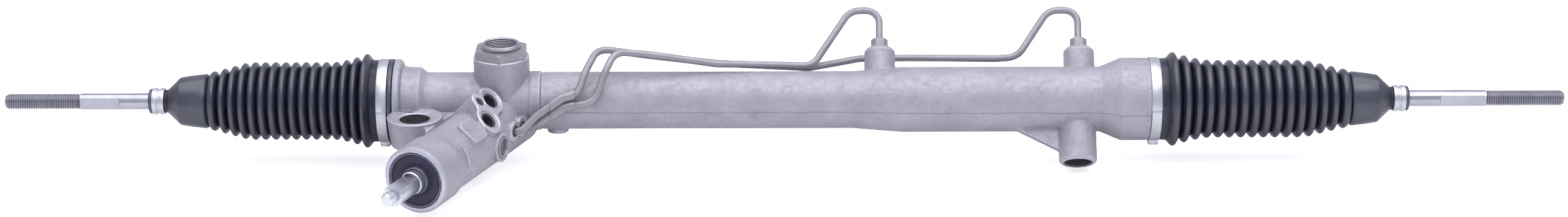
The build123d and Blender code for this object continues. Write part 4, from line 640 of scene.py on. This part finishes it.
for name, (side, ball_x, length, thread, flats) in RODS.items():
    rows = rod_rows(length, thread, flats)
    verts = []
    for station, radius, kind in rows:
        for step in range(ROD_SEGMENTS):
            turn = step / ROD_SEGMENTS
            reach = radius
            if kind == "thread":
                fade = max(0.0, min(1.0, (length - THREAD_TAIL - station) / THREAD_FADE))
                reach = min(thread_radius(station, turn), ROD_THREAD_R - THREAD_DEPTH * (1 - fade))
            y = reach * math.cos(2 * math.pi * turn)
            z = reach * math.sin(2 * math.pi * turn)
            if kind == "flat":
                y = max(-FLAT_HALF, min(FLAT_HALF, y))
            verts.append((ball_x + side * station, RACK_Y + y, RACK_Z + z))
    faces = grid_faces(len(rows), ROD_SEGMENTS)
    made = piece(f"rod_{name}", verts, faces, "bright_rod", sharp=ROD_EDGE)
    made.data.materials.append(materials["thread_steel"])
    for face in made.data.polygons:
        if side * (face.center.x / MM - ball_x) > length - thread + FLAT_EDGE:
            face.material_index = 1
    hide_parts(f"tie_rod_{name}")
    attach(made, f"tie_rod_{name}")

# --- Boots -----------------------------------------------------------------------------------
PLEATS = 16
PLEAT_R, PLEAT_DEPTH = 34.6, 5.6
BIG_RISE, BIG_PLEATS, BIG_POWER = 7.1, 3.4, 1.5
SMALL_DROP, SMALL_STEP = 8.0, 2.4
FIRST_PLEAT = 11.0
FIRST_LEAD, FIRST_POWER = 0.62, 1.15  # start of the first ridge, in pitches before its tip, and its slope
BOOT_WALL = 1.4
BELL_START, BELL_LENGTH, FLARE = 8.0, 23.0, 11.0
BELL_BIG, BELL_SMALL, BELL_VALLEY = 24.2, 21.2, 1.6
NECK_R, NECK_LENGTH = 10.3, 16.0
CUFF_R, LIP_R, SEAT_R = 36.3, 37.2, 33.5
SEAT_END = 3.0  # the boot lies on the housing's seat up to here
COVERED_CUFF = 12.0  # a shorter cuff ends under its clamp and has no lip
RIDGE_STEPS = 14
RIDGE_POWER = 0.8  # below 1, ridges are wider than valleys
ROD_NECK_R = 7.6
BOOT_SEGMENTS = 112
BLEND_LEAD = -4.0
BEND_SHARE = 0.56  # of the boot past the first piece's end, where the shoulder piece ends; the bell piece takes the rest
MIN_STEP, CUT_CLEAR = 1e-4, 1e-3  # least distance of two stations, and of a station from a cut
BOOTS = {  # side, end of the housing, cuff, length of the pleats and the pleat whose valley ends the first piece
    "left": (-1, -36.0, 14.0, 135.0, 12),
    "right": (1, 656.0, 10.6, 151.0, 13),
}


def pleat_tip(index):
    """Radius of a ridge, counted from the big end."""
    rise = BIG_RISE * max(0.0, 1 - index / BIG_PLEATS) ** BIG_POWER
    drop = max(0.0, SMALL_DROP - SMALL_STEP * (PLEATS - 1 - index))
    return PLEAT_R + rise - drop


def neck_start(pleats):
    """Station where a boot's neck begins."""
    return FIRST_PLEAT + pleats + BELL_START + BELL_LENGTH + FLARE


def boot_curve(cuff, pleats):
    """Outer outline of a boot from its lip to its neck, and the stations of its valleys."""
    pitch = pleats / (PLEATS - 1)
    valleys = [FIRST_PLEAT + (index + 0.5) * pitch for index in range(PLEATS)]
    depths = [min(pleat_tip(i), pleat_tip(min(i + 1, PLEATS - 1))) - PLEAT_DEPTH for i in range(PLEATS)]
    depths[-1] = BELL_BIG - BELL_VALLEY
    lip = LIP_R if cuff > COVERED_CUFF else CUFF_R
    outline = [(-cuff, lip - 0.6), (-cuff + 0.6, lip), (-cuff + 3.2, lip), (-cuff + 4.0, CUFF_R)]
    start = FIRST_PLEAT - pitch * FIRST_LEAD
    outline += [(-1.0, CUFF_R), (start - 1.2, CUFF_R + 0.1)]
    for step in range(1, RIDGE_STEPS):
        share = step / RIDGE_STEPS
        rise = math.sin(share * math.pi / 2) ** FIRST_POWER
        outline.append((start + (FIRST_PLEAT - start) * share, CUFF_R + (pleat_tip(0) - CUFF_R) * rise))
    for index in range(PLEATS):
        centre, tip = FIRST_PLEAT + index * pitch, pleat_tip(index)
        before = depths[index - 1] if index else CUFF_R
        for step in range(-RIDGE_STEPS // 2 if index else 0, RIDGE_STEPS // 2 + 1):
            share = step / RIDGE_STEPS
            foot = before if step < 0 else depths[index]
            radius = foot + (tip - foot) * max(0.0, math.cos(math.pi * share)) ** RIDGE_POWER
            outline.append((centre + share * pitch, radius))
    neck = neck_start(pleats)
    flare = neck - FLARE
    bell = flare - BELL_LENGTH
    outline += [
        (bell - 2.2, BELL_BIG - 0.9),
        (bell - 1.0, BELL_BIG - 0.2),
        (bell, BELL_BIG),
        (bell + BELL_LENGTH * 0.5, (BELL_BIG + BELL_SMALL) / 2 + 0.25),
        (flare - 2, BELL_SMALL + 0.25),
        (flare - 0.6, BELL_SMALL - 0.2),
        (flare + 1.0, BELL_SMALL - 1.7),
        (neck - 2.4, NECK_R + 1.9),
        (neck - 1.0, NECK_R + 0.6),
        (neck, NECK_R),
        (neck + 2.2, NECK_R),
        (neck + 2.6, NECK_R - 0.5),
        (neck + NECK_LENGTH - 4.2, NECK_R - 0.5),
        (neck + NECK_LENGTH - 3.6, NECK_R + 0.5),
        (neck + NECK_LENGTH - 1.8, NECK_R + 0.9),
        (neck + NECK_LENGTH - 0.4, NECK_R + 0.4),
        (neck + NECK_LENGTH, NECK_R - 0.6),
    ]
    forward = []
    for station, radius in outline:
        if not forward or station > forward[-1][0] + MIN_STEP:
            forward.append((station, radius))
    return forward, valleys


def cut_outline(outline, start, end):
    """Part of an outline between two stations, with its ends put exactly there."""

    def radius_at(station):
        for (a, ra), (b, rb) in zip(outline, outline[1:]):
            if a <= station <= b:
                return ra + (rb - ra) * (station - a) / (b - a)
        return outline[-1][1]

    inner = [pair for pair in outline if start + CUT_CLEAR < pair[0] < end - CUT_CLEAR]
    return [(start, radius_at(start)), *inner, (end, radius_at(end))]


def lining(outline, neck):
    """Inner outline of a boot: on the seat, a wall inside the pleats, and close round the rod's neck."""
    inner = []
    for station, radius in outline:
        if station > neck - BOOT_WALL:
            inner.append((station, ROD_NECK_R))
        else:
            inner.append((station, SEAT_R if station < SEAT_END else radius - BOOT_WALL))
    return inner


for name, (side, end_x, cuff, pleats, last_slide_pleat) in BOOTS.items():
    outline, valleys = boot_curve(cuff, pleats)
    neck = neck_start(pleats)
    slide_end = valleys[last_slide_pleat]
    rise_end = slide_end + (neck - slide_end) * BEND_SHARE
    boot_end = outline[-1][0]
    spans = (
        ("pleats", -cuff, slide_end, "housing", "rack", BLEND_LEAD, slide_end),
        ("shoulder", slide_end, rise_end, "rack", f"seat_{name}", slide_end, rise_end),
        ("bell", rise_end, boot_end, f"seat_{name}", f"tie_rod_{name}", rise_end, neck),
    )
    for label, start, end, first, second, blend_start, blend_end in spans:
        part = cut_outline(outline, start, end)
        made = lathe(
            f"boot_{name}_{label}",
            part + lining(part, neck)[::-1],
            (end_x, RACK_Y, RACK_Z),
            (side, 0, 0),
            "boot_rubber",
            segments=BOOT_SEGMENTS,
            sharp=SOFT_EDGE,
        )
        if label == "pleats":
            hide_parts(f"boot_{name}")
        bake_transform(made)

# --- Clamps on the big ends and clips on the necks --------------------------------------------
CLAMP_WIDTH, CLAMP_THICK, CLAMP_GAP = 9.0, 0.9, 0.03
CLAMP_INSETS = {"left": 5.2, "right": 6.4}
EAR_HALF, EAR_RISE, EAR_SIDE, EAR_SLOPE, EAR_WIDTH = 3.6, 3.4, 1.2, 1.6, 0.8
EAR_TURN = math.radians(200)  # ear's direction, from straight up towards the front
TONGUE = (0.32, 1.25)  # radians past the ear, where the band lies double
CLAMP_STEPS = 288
CLIP_R, CLIP_WIDTH, CLIP_INSET = 10.6, 11.0, 3.0
CLIP_HALF = [(0, 0), (0, 0.5), (0.4, 1.05), (1.4, 1.2), (3.6, 1.2), (4.4, 0.95), (4.7, 0.35)]


def band_lift(angle):
    """How far the clamp's band stands off the cuff at an angle from its ear."""
    reach = abs(angle) * CUFF_R
    share = min(1.0, max(0.0, (EAR_HALF + EAR_SIDE - reach) / EAR_SLOPE))
    return EAR_RISE * share * share * (3 - 2 * share)


band_half = CLAMP_WIDTH / 2
band_section = [(-band_half, 0.25), (-band_half + 0.25, 0), (band_half - 0.25, 0), (band_half, 0.25)]
band_section += [(band_half, 0.65), (band_half - 0.3, 0.9), (0, 0.98), (-band_half + 0.3, 0.9)]
band_section += [(-band_half, 0.65)]
clip = CLIP_HALF + [(CLIP_WIDTH - across, rise) for across, rise in CLIP_HALF[::-1]]

for name, (side, end_x, cuff, pleats, last_slide_pleat) in BOOTS.items():
    middle = end_x - side * CLAMP_INSETS[name]
    verts = []
    for step in range(CLAMP_STEPS):
        angle = 2 * math.pi * step / CLAMP_STEPS - math.pi
        doubled = CLAMP_THICK if TONGUE[0] < angle < TONGUE[1] else 0.0
        narrowed = EAR_WIDTH if abs(angle) * CUFF_R < EAR_HALF else 1.0
        turn = EAR_TURN + angle
        for across, rise in band_section:
            radius = CUFF_R + CLAMP_GAP + band_lift(angle) + rise * (1 + doubled)
            y, z = radius * math.sin(turn), radius * math.cos(turn)
            verts.append((middle + across * narrowed, RACK_Y + y, RACK_Z + z))
    faces = grid_faces(CLAMP_STEPS, len(band_section), closed_rows=True)
    made = piece(f"band_{name}", verts, faces, "band_steel", sharp=BAND_EDGE)
    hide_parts(f"boot_clamp_{name}")
    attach(made, "housing")

    clip_end = neck_start(pleats) + NECK_LENGTH - CLIP_INSET
    made = lathe(
        f"clip_{name}",
        [(clip_end - across, CLIP_R + rise) for across, rise in clip],
        (end_x, RACK_Y, RACK_Z),
        (side, 0, 0),
        "band_steel",
    )
    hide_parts(f"neck_clip_{name}")
    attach(made, f"tie_rod_{name}")

# --- Yoke plug: threaded outside, hollow, with turning marks ----------------------------------
PLUG_R, PLUG_BOTTOM, PLUG_TOP, PLUG_BORE, PLUG_FLOOR = 17.0, 33.2, 54.0, 13.8, 40.2
PLUG_PITCH, PLUG_THREAD_DEPTH, PLUG_MARK = 1.5, 0.85, 0.5
PLUG_ROOT, PLUG_CREST = PLUG_R - PLUG_THREAD_DEPTH, PLUG_R - 0.02
plug = [(PLUG_BOTTOM, POLE_R), (PLUG_BOTTOM, PLUG_R - 1)]
level = PLUG_BOTTOM + 1.0
while level < PLUG_TOP - 2.2:
    plug += [(level, PLUG_ROOT), (level + 0.55, PLUG_CREST), (level + 0.95, PLUG_CREST)]
    level += PLUG_PITCH
plug += [(PLUG_TOP - 1.2, PLUG_ROOT), (PLUG_TOP - 0.9, PLUG_R - 0.3), (PLUG_TOP, PLUG_R - 1.1)]
plug += [(PLUG_TOP, PLUG_BORE + 0.9), (PLUG_TOP - 0.9, PLUG_BORE)]
level = PLUG_TOP - 1.6
while level > PLUG_FLOOR + 2.0:
    plug += [(level, PLUG_BORE), (level - 0.5, PLUG_BORE + PLUG_MARK), (level - 1.0, PLUG_BORE)]
    level -= PLUG_PITCH
plug += [(PLUG_FLOOR + 0.6, PLUG_BORE), (PLUG_FLOOR, PLUG_BORE - 0.6), (PLUG_FLOOR, POLE_R)]
made = lathe("plug_threaded", plug, YOKE_POINT, UP, "thread_steel", segments=120, sharp=FINE_EDGE)
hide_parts("yoke_plug")
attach(made, "housing")

# --- Dust cover: black outer bead, dished disc and a lip that stands up round the shaft --------
COVER_R, COVER_SEAT, COVER_TOP, SHAFT_R = 24.65, 156.0, 164.9, 10.05
# From the seat outwards over the bead, and down into the dish: below the top, inside the outer radius.
COVER_OUTER = [(1.0, 0), (0.2, 0.6), (0.3, 1.5), (1.6, 2.2), (2.0, 4.5), (2.9, 9.0)]
# From the dish up over the lip: below the top, outside the shaft.
COVER_LIP = [(2.9, 3.2), (2.0, 2.2), (-0.4, 1.6), (-0.8, 0.8), (-0.2, 0)]
cover = [(COVER_SEAT, SHAFT_R), (COVER_SEAT, COVER_R)]
cover += [(COVER_TOP - below, COVER_R - inset) for below, inset in COVER_OUTER]
cover += [(COVER_TOP - below, SHAFT_R + outset) for below, outset in COVER_LIP]
made = lathe(
    "cover_dished",
    cover,
    MESH,
    PINION_DIR,
    "cover_rubber",
    segments=120,
    sharp=SOFT_EDGE,
)
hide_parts("dust_cover")
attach(made, "housing")

# Plain collar of the input shaft where it leaves the cover.
COLLAR, COLLAR_R, COLLAR_BORE, COLLAR_EDGE = (158, 172), SHAFT_R - 0.01, 9.0, 0.8
collar = [(COLLAR[0], COLLAR_BORE), (COLLAR[0], COLLAR_R), (COLLAR[1] - COLLAR_EDGE, COLLAR_R)]
collar += [(COLLAR[1], SHAFT_R - COLLAR_EDGE), (COLLAR[1], COLLAR_BORE)]
made = lathe("shaft_collar", collar, MESH, PINION_DIR, "steel", segments=96)
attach(made, "steering_input")

# --- Rings of painted shade at the tube sockets, hollow plug of the valve bore and threads in the open ports ---
# Dark rings round the tubes where they enter their sockets: painted shade of the gap there.
PIPE_R, SHADE_RING_GAP, SHADE_RING_HALF, SHADE_RING_RISE, SHADE_RING_STEPS = 3.2, 0.95, 0.8, 0.9, 12
shade_ring = []
for step in range(SHADE_RING_STEPS):
    angle = 2 * math.pi * step / SHADE_RING_STEPS
    shade_ring.append((SOCKET_FACE + SHADE_RING_HALF * math.cos(angle), PIPE_R + SHADE_RING_GAP + SHADE_RING_RISE * math.sin(angle)))
for name, station in SOCKET_STATIONS.items():
    foot = MESH + PINION_DIR * station + UP * SOCKET_LIFT
    made = lathe(f"socket_shade_ring_{name}", shade_ring, foot, PINION_SIDE, "dark_hole", segments=48)
    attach(made, "housing")

CUP_STATION, CUP_LIFT, CUP_R = 57.0, -3.0, 9.5
CUP_BOTTOM, CUP_FLOOR, CUP_TOP = 22, 24.6, 29.7
foot = MESH + PINION_DIR * CUP_STATION + UP * CUP_LIFT
cup = [(CUP_BOTTOM, POLE_R), (CUP_BOTTOM, CUP_R - 0.05), (CUP_TOP - 0.5, CUP_R - 0.05)]
cup += [(CUP_TOP, CUP_R - 0.6), (CUP_TOP, CUP_R - 1.5), (CUP_TOP - 0.7, CUP_R - 2.0)]
cup += [(CUP_FLOOR + 0.4, CUP_R - 2.2), (CUP_FLOOR, CUP_R - 2.9), (CUP_FLOOR, POLE_R)]
made = lathe("plug_cup", cup, foot, PINION_SIDE, "zinc_steel", segments=72)
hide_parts("valve_plug")
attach(made, "housing")

PORT_R, PORT_DEPTH, PORT_PITCH, PORT_PLAIN = 7.2, 11.0, 1.25, 2.4
PORT_ROOT, PORT_CREST = PORT_R - 0.1, PORT_R - 0.95
PORTS = {"pressure": (41.8, -16.2), "return": (64.5, -2.9)}  # along the pinion and down the pad
wall = [(PAD_HEIGHT - 1.7, PORT_R + 0.02), (PAD_HEIGHT - PORT_DEPTH, PORT_R + 0.02)]
level = PAD_HEIGHT - PORT_DEPTH
while level < PAD_HEIGHT - PORT_PLAIN:
    wall += [(level, PORT_ROOT), (level + 0.35, PORT_CREST)]
    wall += [(level + 0.6, PORT_CREST), (level + 0.95, PORT_ROOT)]
    level += PORT_PITCH
# The threads' dark port_steel paints the shade inside the open ports.
for name, (along, down) in PORTS.items():
    foot = MESH + PINION_DIR * along + PAD_DOWN * down
    made = lathe(
        f"port_thread_{name}",
        wall,
        foot,
        PAD_NORMAL,
        "port_steel",
        segments=72,
        sharp=FINE_EDGE,
    )
    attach(made, "housing")

# --- Materials on the CAD nodes --------------------------------------------------------------
NODE_MERGE = 1e-6


def smoother():
    """Node group that welds a mesh and shades it smooth except at sharp edges."""
    group = bpy.data.node_groups.new("smooth_by_angle", "GeometryNodeTree")
    group.interface.new_socket("Geometry", in_out="INPUT", socket_type="NodeSocketGeometry")
    group.interface.new_socket("Geometry", in_out="OUTPUT", socket_type="NodeSocketGeometry")
    entry = group.nodes.new("NodeGroupInput")
    leave = group.nodes.new("NodeGroupOutput")
    weld = group.nodes.new("GeometryNodeMergeByDistance")
    weld.inputs["Distance"].default_value = NODE_MERGE
    edge_angle = group.nodes.new("GeometryNodeInputMeshEdgeAngle")
    compare = group.nodes.new("FunctionNodeCompare")
    compare.data_type, compare.operation = "FLOAT", "LESS_THAN"
    compare.inputs[1].default_value = SHARP
    faces_smooth = group.nodes.new("GeometryNodeSetShadeSmooth")
    faces_smooth.domain = "FACE"
    edges_smooth = group.nodes.new("GeometryNodeSetShadeSmooth")
    edges_smooth.domain = "EDGE"
    group.links.new(entry.outputs[0], weld.inputs["Geometry"])
    group.links.new(weld.outputs["Geometry"], faces_smooth.inputs["Geometry"])
    group.links.new(faces_smooth.outputs["Geometry"], edges_smooth.inputs["Geometry"])
    group.links.new(edge_angle.outputs["Unsigned Angle"], compare.inputs[0])
    group.links.new(compare.outputs["Result"], edges_smooth.inputs["Shade Smooth"])
    group.links.new(edges_smooth.outputs["Geometry"], leave.inputs[0])
    return group


SMOOTHER = smoother()
SLOT_OF = {row["node"]: row["material_slot"] for row in frame["record"]["subparts"]}
for node_name, node in nodes.items():
    node.data.materials.clear()
    node.data.materials.append(materials[SLOT_OF[node_name]])
    modifier = node.modifiers.new("smooth", "NODES")
    modifier.node_group = SMOOTHER

# --- Light and floor -------------------------------------------------------------------------
WHITE = (1, 1, 1)
SKY, SKY_LEVEL = (0.86, 0.87, 1.0), 0.74
MIDDLE = (0.32, 0.05, 0.02)
LAMPS = {  # place, aim, size, watts and colour
    "key": ((0.32, 0.12, 2.0), MIDDLE, (4.2, 2.2), 42, WHITE),
    "top": ((0.6, -0.9, 1.6), MIDDLE, (2.4, 0.8), 8, WHITE),
    "fill": ((-0.4, -2.0, -0.3), (0.05, 0.0, 0.0), (1.8, 0.5), 8, (0.84, 0.86, 1)),
}
FLOOR_SPAN, FLOOR_GAP, FLOOR_COLOR, FLOOR_GLOW = 12.0, 0.0005, (0.9, 0.9, 0.9, 1), 0.65


def seen_directly(tree):
    """Socket that is 1 on camera and transmission rays, else 0."""
    rays = tree.nodes.new("ShaderNodeLightPath")
    either = tree.nodes.new("ShaderNodeMath")
    either.operation = "MAXIMUM"
    tree.links.new(rays.outputs["Is Camera Ray"], either.inputs[0])
    tree.links.new(rays.outputs["Is Transmission Ray"], either.inputs[1])
    return either.outputs["Value"]


def plain_light(tree, kind, color, strength):
    """Shader that gives off one colour."""
    node = tree.nodes.new(kind)
    node.inputs["Color"].default_value = (*color, 1)
    node.inputs["Strength"].default_value = strength
    return node.outputs[0]


def mixed(tree, share, first, second):
    """Mix of two shaders by a socket from 0 to 1."""
    node = tree.nodes.new("ShaderNodeMixShader")
    for place, socket in enumerate((share, first, second)):
        tree.links.new(socket, node.inputs[place])
    return node.outputs[0]


def lamp(name, place, aim, size, watts, color):
    """Soft rectangular lamp that looks at a point."""
    data = bpy.data.lights.new(name, "AREA")
    data.shape = "RECTANGLE"
    data.size, data.size_y = size
    data.energy = watts
    data.color = color
    made = bpy.data.objects.new(name, data)
    made.location = place
    made.rotation_mode = "QUATERNION"
    made.rotation_quaternion = (Vector(aim) - Vector(place)).to_track_quat("-Z", "Y")
    scene.collection.objects.link(made)


world = bpy.data.worlds.new("studio")
scene.world = world
world.use_nodes = True
tree = world.node_tree
tree.nodes.clear()
sky = plain_light(tree, "ShaderNodeBackground", SKY, SKY_LEVEL)
white = plain_light(tree, "ShaderNodeBackground", WHITE, 1.0)
out = tree.nodes.new("ShaderNodeOutputWorld")
tree.links.new(mixed(tree, seen_directly(tree), sky, white), out.inputs["Surface"])
for name, settings in LAMPS.items():
    lamp(name, *settings)

floor_level = cad_box[0].z - FLOOR_GAP
floor_mesh = bpy.data.meshes.new("floor")
floor_mesh.from_pydata(
    [(x * FLOOR_SPAN, y * FLOOR_SPAN, floor_level) for x, y in ((-1, -1), (1, -1), (1, 1), (-1, 1))],
    [],
    [(0, 1, 2, 3)],
)
floor = bpy.data.objects.new("floor", floor_mesh)
scene.collection.objects.link(floor)
floor_material = bpy.data.materials.new("floor")
floor_material.use_nodes = True
tree = floor_material.node_tree
shader = tree.nodes["Principled BSDF"]
shader.inputs["Base Color"].default_value = FLOOR_COLOR
shader.inputs["Roughness"].default_value = 1.0
shader.inputs["Specular IOR Level"].default_value = 0.0
dark = plain_light(tree, "ShaderNodeEmission", WHITE, 0.0)
glow = plain_light(tree, "ShaderNodeEmission", WHITE, FLOOR_GLOW)
total = tree.nodes.new("ShaderNodeAddShader")
tree.links.new(shader.outputs[0], total.inputs[0])
tree.links.new(mixed(tree, seen_directly(tree), dark, glow), total.inputs[1])
tree.links.new(total.outputs[0], tree.nodes["Material Output"].inputs["Surface"])
floor.data.materials.append(floor_material)
